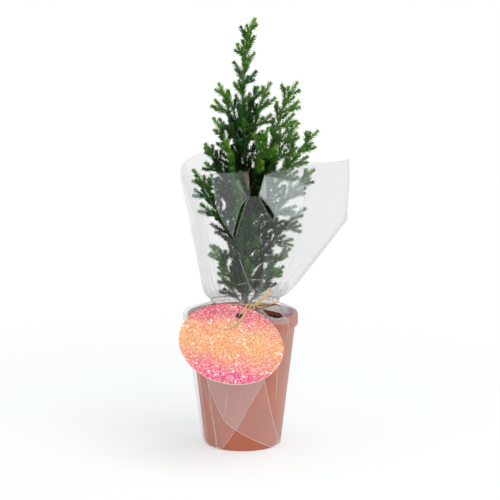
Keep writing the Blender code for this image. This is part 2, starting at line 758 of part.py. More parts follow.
def disc(name, radius, thickness, corners, surface, group=parts):
    """A flat round plate about its own centre."""
    shape = bmesh.new()
    bmesh.ops.create_cone(
        shape, cap_ends=True, segments=corners, radius1=radius, radius2=radius, depth=thickness
    )
    mesh = bpy.data.meshes.new(name)
    shape.to_mesh(mesh)
    shape.free()
    return add_piece(name, mesh, surface, group)


def make_tag():
    """The round card with its hole, and the eyelet clinched round the hole."""
    card = disc("tag", TAG_RADIUS, TAG_THICKNESS, 56, CARD)
    card.matrix_world = tag_frame()
    hole = disc("tag hole", TAG_HOLE_RADIUS, 10 * TAG_THICKNESS, 16, CARD, cutters)
    hole.matrix_world = tag_frame() @ Matrix.Translation((*TAG_HOLE_AT, 0))
    hole.hide_render = True
    hole.display_type = "WIRE"
    cut = card.modifiers.new("hole", "BOOLEAN")
    cut.operation = "DIFFERENCE"
    cut.object = hole
    barrel = TAG_HOLE_RADIUS - GAP
    inner = TAG_THICKNESS / 2 + GAP
    outer = inner + EYELET_LIP
    profile = [(EYELET_BORE, outer), (EYELET_RADIUS, outer), (EYELET_RADIUS, inner), (barrel, inner)]
    profile += [(barrel, -inner), (EYELET_RADIUS, -inner), (EYELET_RADIUS, -outer), (EYELET_BORE, -outer)]
    profile += [(EYELET_BORE, outer)]
    eyelet = turned("eyelet", profile, 10, EYELET)
    eyelet.matrix_world = hole.matrix_world


def over_hole(across, up, lift):
    """A point over the card, in millimetres from the middle of its hole along the card's own axes."""
    hole_x, hole_y = TAG_HOLE_AT
    return tag_frame() @ Vector((hole_x + across * MM, hole_y + up * MM, TAG_THICKNESS / 2 + lift * MM))


def smooth_strand(name, points, radius):
    """A strand of raffia through points, on one smooth line."""
    line = []
    for i in range(len(points) - 1):
        before, here = points[max(i - 1, 0)], points[i]
        after, beyond = points[i + 1], points[min(i + 2, len(points) - 1)]
        first = here + (after - before) / 6
        last = after - (beyond - here) / 6
        line += geometry.interpolate_bezier(here, first, last, after, 9)[:-1]
    line = evenly(line + [points[-1]], STRAND_STEP)
    return tube(name, line, [radius] * len(line), RAFFIA)


def make_band():
    """The tie: a strand in a ring, squashed to the waist's oval."""
    ring = bmesh.new()
    bmesh.ops.create_circle(
        ring, segments=5, radius=RAFFIA_RADIUS, matrix=Matrix.Rotation(math.radians(90), 4, "X")
    )
    reach = WAIST_SIDE + FILM + 2 * GAP + RAFFIA_RADIUS
    depth = WAIST_DEPTH + FILM + 2 * GAP + RAFFIA_RADIUS
    bmesh.ops.translate(ring, vec=(reach, 0, 0), verts=ring.verts)
    bmesh.ops.spin(
        ring, geom=ring.verts[:] + ring.edges[:], axis=UP, steps=32, angle=math.tau, use_merge=True
    )
    for vert in ring.verts:
        spread = vert.co.xy.length - reach
        flat = vert.co.xy.normalized()
        vert.co.x = flat.x * (reach + spread) + WAIST_CENTRE
        vert.co.y = flat.y * (depth + spread)
        vert.co.z += BAND_HEIGHT
    bmesh.ops.remove_doubles(ring, verts=ring.verts, dist=CLOSE)
    bmesh.ops.recalc_face_normals(ring, faces=ring.faces)
    mesh = bpy.data.meshes.new("raffia_band")
    ring.to_mesh(mesh)
    ring.free()
    add_piece("raffia_band", mesh, RAFFIA)


def make_knot():
    """The knot at the waist's front."""
    knot = bmesh.new()
    bmesh.ops.create_uvsphere(knot, u_segments=10, v_segments=6, radius=KNOT_RADIUS)
    bmesh.ops.scale(knot, vec=KNOT_SHAPE, verts=knot.verts)
    mesh = bpy.data.meshes.new("raffia_knot")
    knot.to_mesh(mesh)
    knot.free()
    add_piece("raffia_knot", mesh, RAFFIA).location = KNOT_CENTRE


def make_strands():
    """The knot's two free ends, the strand that carries the tag, and its tail on the card."""
    smooth_strand("raffia_end_long", [Vector(p) * MM for p in LONG_END], RAFFIA_RADIUS)
    smooth_strand("raffia_end_short", [Vector(p) * MM for p in SHORT_END], RAFFIA_RADIUS * THIN_STRAND)
    tie = [KNOT_CENTRE + TIE_FROM_KNOT] + [over_hole(*place) for place in TIE_OVER_CARD]
    smooth_strand("raffia_tag_tie", tie, RAFFIA_RADIUS * TIE_STRAND)
    tail = [KNOT_CENTRE + TAIL_FROM_KNOT] + [over_hole(*place) for place in TAIL_OVER_CARD]
    smooth_strand("raffia_tag_tail", tail, RAFFIA_RADIUS)


make_pot()
make_soil()
make_trunk()
make_boughs()
stems = [(mass, *clad_rings(mass)) for mass in (LEADER, *BOUGHS)]
for mass, stem_line, needle_rings in stems:
    make_foliage(mass, stem_line, needle_rings)
make_film()
make_tag()
make_band()
make_knot()
make_strands()
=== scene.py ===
"""The looks of a young potted conifer in a film wrap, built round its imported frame. Metres, +Z up, front at -Y."""

import math
import random
from collections import namedtuple

import bpy
import numpy as np
from mathutils import Matrix, Vector, geometry, kdtree, noise


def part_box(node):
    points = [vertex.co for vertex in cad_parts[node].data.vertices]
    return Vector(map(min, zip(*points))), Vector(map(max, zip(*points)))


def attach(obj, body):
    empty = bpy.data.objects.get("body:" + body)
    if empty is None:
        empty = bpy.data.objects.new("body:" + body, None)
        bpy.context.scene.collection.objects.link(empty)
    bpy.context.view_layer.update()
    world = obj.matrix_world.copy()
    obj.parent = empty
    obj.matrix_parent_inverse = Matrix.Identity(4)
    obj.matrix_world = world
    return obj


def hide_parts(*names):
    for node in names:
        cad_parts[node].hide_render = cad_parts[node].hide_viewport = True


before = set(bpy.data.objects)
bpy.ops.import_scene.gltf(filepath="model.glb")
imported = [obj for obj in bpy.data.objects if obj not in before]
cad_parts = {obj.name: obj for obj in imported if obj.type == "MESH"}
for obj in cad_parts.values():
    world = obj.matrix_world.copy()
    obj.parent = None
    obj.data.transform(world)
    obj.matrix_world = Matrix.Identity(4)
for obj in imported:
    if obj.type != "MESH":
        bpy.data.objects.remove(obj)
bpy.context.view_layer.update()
MM = 0.001
UP = Vector((0, 0, 1))

# Studio: a long lens a little above the plant's middle, soft light all round with a key from the right, and a
# pale floor that fades into the white behind it.
eye = Vector((0, -1.2, 0.333))
aim = Vector((0.0056, 0, 0.149))
bpy.ops.object.camera_add(location=eye, rotation=(aim - eye).to_track_quat("-Z", "Y").to_euler())
camera = bpy.context.object
camera.data.lens = 115.7
bpy.context.scene.camera = camera
bpy.context.scene.view_settings.view_transform = "Standard"

studio = bpy.data.worlds.new("studio")
bpy.context.scene.world = studio
studio.use_nodes = True
sky = studio.node_tree
seen = sky.nodes.new("ShaderNodeLightPath")
strength = sky.nodes.new("ShaderNodeMapRange")
strength.inputs["To Min"].default_value = 0.72
strength.inputs["To Max"].default_value = 1
sky.nodes["Background"].inputs["Color"].default_value = (1, 1, 1, 1)
sky.links.new(seen.outputs["Is Camera Ray"], strength.inputs["Value"])
sky.links.new(strength.outputs["Result"], sky.nodes["Background"].inputs["Strength"])

for place, size, power in (((0.8, -0.9, 1.5), 1.4, 13.5), ((-1.2, -0.7, 0.9), 0.9, 1.2), ((0.1, -1.6, 0.15), 1, 4)):
    turn = (aim - Vector(place)).to_track_quat("-Z", "Y").to_euler()
    bpy.ops.object.light_add(type="AREA", location=place, rotation=turn)
    bpy.context.object.data.size = size
    bpy.context.object.data.energy = power

bpy.ops.mesh.primitive_plane_add(size=3)
floor = bpy.context.object
floor.name = "floor"
floor_paint = bpy.data.materials.new("pale floor")
floor_paint.use_nodes = True
floor_nodes, floor_links = floor_paint.node_tree.nodes, floor_paint.node_tree.links
floor_shader = floor_nodes["Principled BSDF"]
floor_shader.inputs["Base Color"].default_value = (0.57, 0.57, 0.57, 1)
floor_shader.inputs["Roughness"].default_value = 0.9
floor_shader.inputs["Emission Color"].default_value = (0.93, 1, 1, 1)
floor_shader.inputs["Emission Strength"].default_value = 0.44
from_pot = floor_nodes.new("ShaderNodeTexCoord")
distance = floor_nodes.new("ShaderNodeVectorMath")
distance.operation = "LENGTH"
fade = floor_nodes.new("ShaderNodeMapRange")
fade.interpolation_type = "SMOOTHSTEP"
fade.inputs["From Min"].default_value = 0.15
fade.inputs["From Max"].default_value = 0.6
fade.inputs["To Min"].default_value = 1
fade.inputs["To Max"].default_value = 0
floor_links.new(from_pot.outputs["Object"], distance.inputs[0])
floor_links.new(distance.outputs["Value"], fade.inputs["Value"])
floor_links.new(fade.outputs["Result"], floor_shader.inputs["Alpha"])
floor.data.materials.append(floor_paint)


# Pot: one injection-moulded piece of matte terracotta-coloured plastic, tapered so that pots nest,
# with a turned-over rim. It stands on its flat underside.
def finish(name, colour, roughness):
    """A new material, with its nodes, its links and its Principled shader at hand."""
    made = bpy.data.materials.new(name)
    made.use_nodes = True
    shader = made.node_tree.nodes["Principled BSDF"]
    shader.inputs["Base Color"].default_value = (*colour, 1)
    shader.inputs["Roughness"].default_value = roughness
    return made, made.node_tree.nodes, made.node_tree.links, shader


def grain_group():
    """Two depths of one colour in soft patches, with a fine grain for the bump."""
    group = bpy.data.node_groups.new("grain", "ShaderNodeTree")
    for label in ("Light", "Dark"):
        group.interface.new_socket(label, in_out="INPUT", socket_type="NodeSocketColor")
    for label in ("Patch Scale", "Grain Scale"):
        group.interface.new_socket(label, in_out="INPUT", socket_type="NodeSocketFloat")
    group.interface.new_socket("Colour", in_out="OUTPUT", socket_type="NodeSocketColor")
    group.interface.new_socket("Grain", in_out="OUTPUT", socket_type="NodeSocketFloat")
    nodes, links = group.nodes, group.links
    given = nodes.new("NodeGroupInput")
    out = nodes.new("NodeGroupOutput")
    where = nodes.new("ShaderNodeTexCoord")
    patches = nodes.new("ShaderNodeTexNoise")
    patches.inputs["Detail"].default_value = 3
    fine = nodes.new("ShaderNodeTexNoise")
    fine.inputs["Detail"].default_value = 2
    ramp = nodes.new("ShaderNodeMapRange")
    ramp.inputs["From Min"].default_value = 0.3
    ramp.inputs["From Max"].default_value = 0.7
    mix = nodes.new("ShaderNodeMix")
    mix.data_type = "RGBA"
    links.new(where.outputs["Object"], patches.inputs["Vector"])
    links.new(where.outputs["Object"], fine.inputs["Vector"])
    links.new(given.outputs["Patch Scale"], patches.inputs["Scale"])
    links.new(given.outputs["Grain Scale"], fine.inputs["Scale"])
    links.new(patches.outputs["Fac"], ramp.inputs["Value"])
    links.new(ramp.outputs["Result"], mix.inputs["Factor"])
    links.new(given.outputs["Light"], mix.inputs["A"])
    links.new(given.outputs["Dark"], mix.inputs["B"])
    links.new(mix.outputs["Result"], out.inputs["Colour"])
    links.new(fine.outputs["Fac"], out.inputs["Grain"])
    return group


GRAIN = grain_group()


def grained(name, light, dark, roughness, patch_scale, grain_scale, relief):
    """A material whose colour drifts between two depths, with a fine relief of that many metres."""
    made, nodes, links, shader = finish(name, light, roughness)
    grain = nodes.new("ShaderNodeGroup")
    grain.node_tree = GRAIN
    grain.inputs["Light"].default_value = (*light, 1)
    grain.inputs["Dark"].default_value = (*dark, 1)
    grain.inputs["Patch Scale"].default_value = patch_scale
    grain.inputs["Grain Scale"].default_value = grain_scale
    bump = nodes.new("ShaderNodeBump")
    bump.inputs["Distance"].default_value = relief
    links.new(grain.outputs["Colour"], shader.inputs["Base Color"])
    links.new(grain.outputs["Grain"], bump.inputs["Height"])
    links.new(bump.outputs["Normal"], shader.inputs["Normal"])
    return made


def named(name, surface):
    """Names the piece that an operator has just added and gives it its material."""
    piece = bpy.context.object
    piece.name = name
    piece.data.name = name
    piece.data.materials.append(surface)
    return piece


def placed(piece, slot, *nodes):
    """Hands a finished piece over: it rides on the one body and stands for its CAD nodes."""
    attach(piece, "root")
    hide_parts(*nodes)


def turned_up(name, profile, around, surface):
    """A round piece from a circle, extruded and sized ring by ring along a profile of radius and height."""
    bpy.ops.object.select_all(action="DESELECT")
    radius, height = profile[0]
    bpy.ops.mesh.primitive_circle_add(vertices=around, radius=radius, fill_type="NGON", location=(0, 0, height))
    piece = named(name, surface)
    bpy.ops.object.transform_apply(location=True)
    bpy.ops.object.mode_set(mode="EDIT")
    bpy.ops.mesh.select_all(action="SELECT")
    for (wide, low), (next_wide, high) in zip(profile, profile[1:]):
        bpy.ops.mesh.extrude_region_move(TRANSFORM_OT_translate={"value": (0, 0, high - low)})
        share = next_wide / wide
        bpy.ops.transform.resize(value=(share, share, 1))
    bpy.ops.mesh.select_all(action="SELECT")
    bpy.ops.mesh.normals_make_consistent(inside=False)
    bpy.ops.object.mode_set(mode="OBJECT")
    return piece


def bevelled(piece, width, segments, angle):
    """Rounds a piece's sharp edges and shades it smooth."""
    bevel = piece.modifiers.new("rounding", "BEVEL")
    bevel.width = width
    bevel.segments = segments
    bevel.limit_method = "ANGLE"
    bevel.angle_limit = math.radians(30)
    bpy.context.view_layer.objects.active = piece
    bpy.ops.object.modifier_apply(modifier="rounding")
    bpy.ops.object.shade_smooth_by_angle(angle=math.radians(angle))


POT_LOW, POT_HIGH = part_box("pot")
POT_HEIGHT = POT_HIGH.z
RIM_RADIUS = POT_HIGH.x
BASE_RADIUS = 29 * MM
NECK_RADIUS = 39.8 * MM
RIM_HEIGHT = 9.5 * MM
POT_WALL = 1.3 * MM
BEAD = 2 * MM


def pot_radius(height):
    """The outside of the tapered body at a height."""
    return BASE_RADIUS + (NECK_RADIUS - BASE_RADIUS) * height / (POT_HEIGHT - RIM_HEIGHT)


rim_foot = POT_HEIGHT - RIM_HEIGHT
pot_profile = [(BASE_RADIUS - 1.2 * MM, 0), (pot_radius(1.2 * MM), 1.2 * MM)]
pot_profile += [(NECK_RADIUS, rim_foot - 0.5 * MM), (RIM_RADIUS - 0.5 * MM, rim_foot)]
pot_profile += [(RIM_RADIUS, rim_foot + 0.8 * MM), (RIM_RADIUS, POT_HEIGHT - BEAD)]
for step in (30, 60, 90):
    angle = math.radians(step)
    reach = RIM_RADIUS - BEAD + BEAD * math.cos(angle)
    pot_profile.append((reach, POT_HEIGHT - BEAD + BEAD * math.sin(angle)))
pot_profile += [(RIM_RADIUS - 3.4 * MM, POT_HEIGHT - 0.5 * MM), (RIM_RADIUS - 3.8 * MM, rim_foot)]
pot_profile += [(pot_radius(3 * MM) - POT_WALL, 3 * MM)]
terracotta = grained("terracotta", (0.46, 0.122, 0.058), (0.385, 0.097, 0.046), 0.5, 38, 900, 0.00006)
pot = turned_up("terracotta_pot", pot_profile, 128, terracotta)
bevelled(pot, 0.35 * MM, 3, 40)
placed(pot, "terracotta_plastic", "pot")

# Soil: dark peat compost, pressed in to a finger's breadth below the rim, crumbly on top.
SOIL_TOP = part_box("soil")[1].z
soil_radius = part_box("soil")[1].x
peat = grained("peat", (0.07, 0.042, 0.028), (0.022, 0.014, 0.01), 0.95, 260, 1400, 0.0006)
soil_profile = [(pot_radius(3.4 * MM) - 2.2 * MM, 3.4 * MM), (soil_radius, SOIL_TOP - 1.5 * MM)]
soil_profile += [(soil_radius * 0.985, SOIL_TOP - 0.4 * MM)]
soil_profile += [(soil_radius * share, SOIL_TOP) for share in (0.92, 0.82, 0.7, 0.58, 0.45, 0.32, 0.2, 0.1)]
soil = turned_up("compost", soil_profile, 72, peat)
for vert in soil.data.vertices:
    if vert.co.z > SOIL_TOP - 1 * MM:
        rough = noise.noise(vert.co * 160) * 1.1 + noise.noise(vert.co * 520) * 0.5
        near_trunk = min(1, max(0, vert.co.xy.length / (8 * MM) - 0.6))
        vert.co.z += (rough - 0.5) * near_trunk * MM
bpy.ops.object.shade_smooth()
placed(soil, "peat", "soil")

draw = random.Random("crumbs")
bpy.ops.object.select_all(action="DESELECT")
bpy.ops.mesh.primitive_ico_sphere_add(subdivisions=2, radius=1)
crumb = named("crumb", peat)
for vert in crumb.data.vertices:
    vert.co *= 1 + 0.35 * noise.noise(vert.co * 1.7)
crumbs = [crumb]
for i in range(190):
    copy = crumb.copy()
    copy.data = crumb.data.copy()
    bpy.context.collection.objects.link(copy)
    crumbs.append(copy)
for piece in crumbs:
    turn = draw.uniform(0, math.tau)
    reach = (7 * MM) + (soil_radius - 9 * MM) * math.sqrt(draw.random())
    size = draw.uniform(0.45, 1.5) * MM
    piece.location = (reach * math.cos(turn), reach * math.sin(turn), SOIL_TOP + size * 0.2)
    piece.rotation_euler = (draw.uniform(0, 3), draw.uniform(0, 3), turn)
    piece.scale = (size, size * draw.uniform(0.6, 1), size * draw.uniform(0.5, 0.9))
    piece.select_set(True)
bpy.context.view_layer.objects.active = crumb
bpy.ops.object.join()
bpy.ops.object.transform_apply()
crumb.name = "compost_crumbs"
bpy.ops.object.shade_smooth()
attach(crumb, "root")

# Trunk: one thin woody stem, orange-brown where young bark shows, darker in the fissures,
# rooted in the compost and flared at its foot. It runs up through the foliage to the leader.
TRUNK_FOOT = Vector((2.6 * MM, 0.5 * MM, SOIL_TOP + 0.35 * MM))
TRUNK_TOP = Vector((0.4 * MM, 0, 243 * MM))
TRUNK_SWAY = 1.2 * MM
TRUNK_FOOT_RADIUS = 3 * MM
TRUNK_TOP_RADIUS = 1 * MM
ROOT_FLARE = 1.9 * MM
FLARE_HEIGHT = 3.5 * MM


def rolled(name, around, along, place, surface):
    """A flat grid rolled into a form: place gives a point from the turn and the share along. Seam and poles close."""
    bpy.ops.object.select_all(action="DESELECT")
    bpy.ops.mesh.primitive_grid_add(x_subdivisions=around, y_subdivisions=along, size=1)
    piece = named(name, surface)
    for vert in piece.data.vertices:
        vert.co = place((vert.co.x + 0.5) * math.tau, vert.co.y + 0.5)
    bpy.ops.object.mode_set(mode="EDIT")
    bpy.ops.mesh.select_all(action="SELECT")
    bpy.ops.mesh.remove_doubles(threshold=1e-6)
    bpy.ops.mesh.normals_make_consistent(inside=False)
    bpy.ops.object.mode_set(mode="OBJECT")
    bpy.ops.object.shade_smooth()
    return piece


def trunk_point(height):
    """The trunk's centre at a height: a slight lean and a slow double bend."""
    share = (height - TRUNK_FOOT.z) / (TRUNK_TOP.z - TRUNK_FOOT.z)
    place = TRUNK_FOOT.lerp(TRUNK_TOP, share)
    place.x -= TRUNK_SWAY * math.sin(math.tau * share)
    place.y += TRUNK_SWAY * math.sin(math.pi * share)
    return place


def trunk_radius(height):
    """Tapers upward, with a flare at the root."""
    share = (height - TRUNK_FOOT.z) / (TRUNK_TOP.z - TRUNK_FOOT.z)
    taper = TRUNK_TOP_RADIUS + (TRUNK_FOOT_RADIUS - TRUNK_TOP_RADIUS) * (1 - share)
    return taper + ROOT_FLARE * math.exp(-(height - TRUNK_FOOT.z) / FLARE_HEIGHT)


def bark_relief(turn, height, seed):
    """Strips of bark that split lengthwise: 1 on a strip, 0 in a fissure."""
    around = Vector((math.cos(turn), math.sin(turn), 0)) * 1.6
    strips = noise.noise(around + Vector((seed, 0, height * 55)))
    flakes = noise.noise(around * 3 + Vector((0, seed, height * 240)))
    return 0.5 + 0.65 * strips + 0.35 * flakes


def bark_limb(name, point, radius, low, high, rings, around, relief, seed):
    """A limb between two shares of its way, with bark relief and closed flat ends."""

    def place(turn, share):
        level = min(max((share * (rings + 2) - 1) / rings, 0), 1)
        at = low + (high - low) * level
        inside = share * (rings + 2) < 0.5 or share * (rings + 2) > rings + 1.5
        reach = 0 if inside else radius(at) * (1 + relief * (bark_relief(turn, at, seed) - 0.5))
        ahead = (point(at + 0.002) - point(at - 0.002)).normalized()
        side = Vector((0, 1, 0)).cross(ahead).normalized()
        across = ahead.cross(side)
        return point(at) + (side * math.cos(turn) + across * math.sin(turn)) * reach

    return rolled(name, around, rings + 2, place, bark)


def bark_material():
    """Orange-brown strips over dark fissures, drawn out along the stem."""
    made, nodes, links, shader = finish("bark", (0.2, 0.1, 0.05), 0.85)
    where = nodes.new("ShaderNodeTexCoord")
    stretch = nodes.new("ShaderNodeMapping")
    stretch.inputs["Scale"].default_value = (900, 900, 130)
    strips = nodes.new("ShaderNodeTexNoise")
    strips.inputs["Scale"].default_value = 1
    strips.inputs["Detail"].default_value = 4
    ramp = nodes.new("ShaderNodeValToRGB")
    ramp.color_ramp.elements[0].position = 0.32
    ramp.color_ramp.elements[0].color = (0.022, 0.014, 0.01, 1)
    ramp.color_ramp.elements[1].position = 0.68
    ramp.color_ramp.elements[1].color = (0.17, 0.098, 0.048, 1)
    middle = ramp.color_ramp.elements.new(0.5)
    middle.color = (0.07, 0.043, 0.026, 1)
    bump = nodes.new("ShaderNodeBump")
    bump.inputs["Distance"].default_value = 0.0002
    links.new(where.outputs["Object"], stretch.inputs["Vector"])
    links.new(stretch.outputs["Vector"], strips.inputs["Vector"])
    links.new(strips.outputs["Fac"], ramp.inputs["Fac"])
    links.new(ramp.outputs["Color"], shader.inputs["Base Color"])
    links.new(strips.outputs["Fac"], bump.inputs["Height"])
    links.new(bump.outputs["Normal"], shader.inputs["Normal"])
    return made


bark = bark_material()
trunk = bark_limb(
    "bark_trunk", trunk_point, trunk_radius, TRUNK_FOOT.z, TRUNK_TOP.z, rings=230, around=28, relief=0.2, seed=3
)
placed(trunk, "bark", "trunk")

# Boughs: each larger side branch is a bare tapering limb as far as its foliage, curving up from the trunk.
# Every branch follows the same rule: its line leaves the trunk at one angle and nods at its tip.
Bough = namedtuple("Bough", "name root turn reach height bare side")
BOUGHS = (
    Bough("crown_right", 240, 24, 12, 270, 0, 9),
    Bough("crown_left", 236, 196, 12, 266, 0, 9),
    Bough("crown_front", 212, 275, 13, 247, 0, 11),
    Bough("crown_back", 198, 112, 17, 240, 0, 11),
    Bough("high_left", 222, 167, 17.5, 273, 0, 14),
    Bough("high_right", 228, 343, 21, 274, 0, 14),
    Bough("high_back", 214, 76, 21, 262, 0, 14),
    Bough("tall_right", 190, 11, 41, 273.5, 24, 17),
    Bough("mid_right", 180, 341, 43, 245, 20, 16),
    Bough("far_right", 167, 1, 55.5, 238, 24, 17),
    Bough("mid_left", 200, 203, 22.5, 248, 16, 14),
    Bough("far_left", 174, 160, 29, 227.5, 18, 15),
    Bough("front_right", 184, 308, 30, 242, 18, 14),
    Bough("front_left", 174, 242, 26, 233, 18, 14),
    Bough("back_left", 158, 126, 34, 214, 18, 17),
    Bough("back_right", 162, 44, 34, 224, 20, 17),
    Bough("long_left", 146, 189, 36.5, 209.5, 16, 17),
    Bough("wide_right", 150, 5, 53, 208.5, 20, 15),
    Bough("front_mid", 140, 264, 30, 203, 0, 16),
    Bough("under_right", 133, 348, 46.5, 181, 18, 16),
    Bough("front_low", 124, 288, 26, 178, 0, 15),
    Bough("back_low", 121, 86, 28.5, 172, 0, 16),
    Bough("low_left", 113, 166, 24.5, 150.5, 0, 13),
    Bough("low_right", 117, 13, 36, 148, 0, 14),
    Bough("foot_front", 109, 282, 18, 143, 0, 11),
    Bough("foot_back", 108, 104, 20, 140, 0, 12),
    Bough("foot_left", 106, 215, 21, 132.5, 0, 11),
    Bough("foot_right", 106, 342, 31, 137, 0, 12),
)
LEADER = Bough("leader", 243, 0, 8.5, 320.4, 0, 12)
LEADER_LOW = Vector((0.8, 0, 275)) * MM
LEADER_HIGH = Vector((-0.4, 0, 305)) * MM
GAP = 0.35 * MM
FINE = 1 * MM
LIMB_RADIUS = 1.25 * MM
LIMB_TIP_RADIUS = 0.75 * MM
STEM_CORE = 1.1 * MM
LEAVING = math.radians(32)
NOD = math.radians(9)
LOW_PULL = 0.22
HIGH_PULL = 0.38
CURVE_STEPS = 60


def evenly(points, step):
    """The same line with its points about a step apart, first and last kept."""
    lengths = [0]
    for here, after in zip(points, points[1:]):
        lengths.append(lengths[-1] + (after - here).length)
    count = max(1, round(lengths[-1] / step))
    line = []
    k = 0
    for i in range(count + 1):
        along = lengths[-1] * i / count
        while k < len(points) - 2 and lengths[k + 1] < along:
            k += 1
        share = (along - lengths[k]) / (lengths[k + 1] - lengths[k])
        line.append(points[k].lerp(points[k + 1], share))
    return line


def outward(turn):
    """A level direction, from its angle in degrees."""
    return Vector((math.cos(math.radians(turn)), math.sin(math.radians(turn)), 0))


def guide(bough):
    """A bough's whole line, from the trunk's centre to the tip of its foliage, in fine steps."""
    tip = outward(bough.turn) * bough.reach * MM + UP * bough.height * MM
    if bough is LEADER:
        line = geometry.interpolate_bezier(TRUNK_TOP + UP * GAP, LEADER_LOW, LEADER_HIGH, tip, CURVE_STEPS)
        return evenly(line, FINE)
    root = trunk_point(bough.root * MM)
    away = Vector((tip.x - root.x, tip.y - root.y, 0))
    climb = math.atan2(tip.z - root.z, away.length)
    length = (tip - root).length
    away.normalize()
    first = root + (away * math.cos(LEAVING) + UP * math.sin(LEAVING)) * length * LOW_PULL
    last = tip - (away * math.cos(climb - NOD) + UP * math.sin(climb - NOD)) * length * HIGH_PULL
    return evenly(geometry.interpolate_bezier(root, first, last, tip, CURVE_STEPS), FINE)


def split_guide(bough):
    """The line's bare limb, from inside the trunk's bark, and the stem of its foliage."""
    line = guide(bough)
    if bough is LEADER:
        return [], line
    thick = LIMB_RADIUS if bough.bare else STEM_CORE
    off_trunk = trunk_radius(bough.root * MM) + GAP + thick * math.sin(LEAVING)
    start = round(off_trunk / math.cos(LEAVING) / FINE + 0.5)
    if not bough.bare:
        return [], line[start:]
    meeting = start + round(bough.bare * MM / FINE)
    return line[start:meeting + 1], line[meeting:]


LINES = {bough.name: split_guide(bough) for bough in (LEADER, *BOUGHS)}


def along_line(line):
    """A function that gives the point at any share of a line."""

    def point(share):
        at = min(max(share, 0), 1) * (len(line) - 1)
        k = min(int(at), len(line) - 2)
        return line[k].lerp(line[k + 1], at - k)

    return point


for i, bough in enumerate(BOUGHS):
    if bough.bare:
        whole = guide(bough)
        stem = LINES[bough.name][1]
        line = whole[1:len(whole) - len(stem) + 2]
        way = along_line(line)
        span = 0.002

        def limb_point(share, way=way):
            return way(share)

        def limb_radius(share):
            return LIMB_RADIUS + (LIMB_TIP_RADIUS - LIMB_RADIUS) * share

        limb = bark_limb(
            "bark_bough_" + bough.name, limb_point, limb_radius, 0.02, 0.98, rings=40, around=14, relief=0.16, seed=10 + i
        )
        placed(limb, "bark", "bough_" + bough.name)

# Foliage: soft awl-shaped juvenile needles in whorls of three, on green twigs that fork left and right by turns.
# The masses grow by the frame's own rule and are carried here to finer twigs, each inside its own reach.
NEEDLE_ROOM = 2.5 * MM
NEEDLE_RING = 4.5 * MM
FIRST_SHOOT = 7 * MM
LAST_SHOOT = 7 * MM
SHOOT_SPACING = 7 * MM
SPACING_SPREAD = (0.85, 1.15)
SHOOT_SHARE = 0.42
SHOOT_EXTRA = 6 * MM
LENGTH_SPREAD = (0.85, 1.1)
SHORTER_TRIES = (1, 0.75, 0.55)
LEAST_SHOOT = 4.8 * MM
SHOOT_ANGLE = (math.radians(36), math.radians(48))
SHOOT_CURL = math.radians(14)
SCATTER = math.radians(38)
TWIN_FROM = 13 * MM
TWIN_AT = 0.45
TWIN_SHARE = 0.5
PAST_STEM = 3 * MM
BEHIND_SHARE = 0.55
BEHIND_EXTRA = 1.5 * MM
TRUNK_BARE = 5 * MM
WIDEST = 5 * MM
FILM = 0.4 * MM
FILM_MARGIN = 1.2
BAG_ROWS = (
    (109.2, 23.7, 27.3, 20),
    (112.2, 24.3, 28.1, 20.4),
    (116, 28.7, 34.3, 23),
    (122, 30.7, 40.4, 26),
    (150, 35.6, 62.3, 31),
    (172, 39.1, 78.7, 35),
    (200, 45.3, 80.1, 38),
    (226, 48.2, 79.8, 39),
)
WING_PINCH = 0.66
MOUTH_TOP = 223 * MM


class Claims:
    """The room taken so far: points with a radius round each, and the mass that each belongs to."""

    def __init__(self):
        self.rows = []
        self.tree = None

    def add(self, owner, places, radius):
        self.rows += [(place, radius, owner) for place in places]
        self.tree = kdtree.KDTree(len(self.rows))
        for i, row in enumerate(self.rows):
            self.tree.insert(row[0], i)
        self.tree.balance()

    def leave_room(self, owner, place, reach):
        """Whether needles of this reach stay clear of every limb and of every other mass."""
        for _, index, distance in self.tree.find_range(place, reach + WIDEST + GAP):
            _, radius, other = self.rows[index]
            if other != owner and distance < reach + radius + GAP:
                return False
        return True


CLAIMS = Claims()
for i in range(int((TRUNK_TOP.z - TRUNK_FOOT.z) / FINE) + 1):
    level = TRUNK_FOOT.z + i * FINE
    CLAIMS.rows.append((trunk_point(level), trunk_radius(level), "trunk"))
for bough_name, (bare_limb, leafy_stem) in LINES.items():
    CLAIMS.rows += [(spot, LIMB_RADIUS, "limb") for spot in bare_limb]
    CLAIMS.add(bough_name, leafy_stem, STEM_CORE)


def bag_reach(height):
    """How far the bag reaches left, right and deep at a height."""
    rows = [[value * MM for value in row] for row in BAG_ROWS]
    if height <= rows[0][0]:
        return rows[0][1:]
    for low, high in zip(rows, rows[1:]):
        if height <= high[0]:
            share = (height - low[0]) / (high[0] - low[0])
            return [a + (b - a) * share for a, b in zip(low[1:], high[1:])]
    return rows[-1][1:]


def bag_depth_at(across, height):
    """Half the bag's depth at a place across it, or nothing past its sides."""
    left, right, depth = bag_reach(height)
    share = across / right if across > 0 else -across / left
    if share >= 1:
        return 0
    pinch = 1 - WING_PINCH * share if across > 0 else 1
    return depth * math.sqrt(1 - share * share) * pinch


def inside_film(place, reach):
    """Whether a shoot here stays inside the bag, or stands clear above it."""
    if place.z - reach > MOUTH_TOP:
        return True
    room = bag_depth_at(place.x, place.z) - FILM - GAP - reach * FILM_MARGIN
    return abs(place.y) < room and place.z - reach > SOIL_TOP + GAP


def in_own_space(name, place, reach):
    """Whether needles of this reach here stay in the mass's own space, off every limb and off the film."""
    return CLAIMS.leave_room(name, place, reach) and inside_film(place, reach)


def carried_frames(points):
    """A direction and two sideways directions at each point, with no twist along the line."""
    frames = []
    side = None
    for i in range(len(points)):
        ahead = (points[min(i + 1, len(points) - 1)] - points[max(i - 1, 0)]).normalized()
        if side is None:
            side = ahead.orthogonal()
        side = (side - ahead * side.dot(ahead)).normalized()
        frames.append((ahead, side, ahead.cross(side)))
    return frames


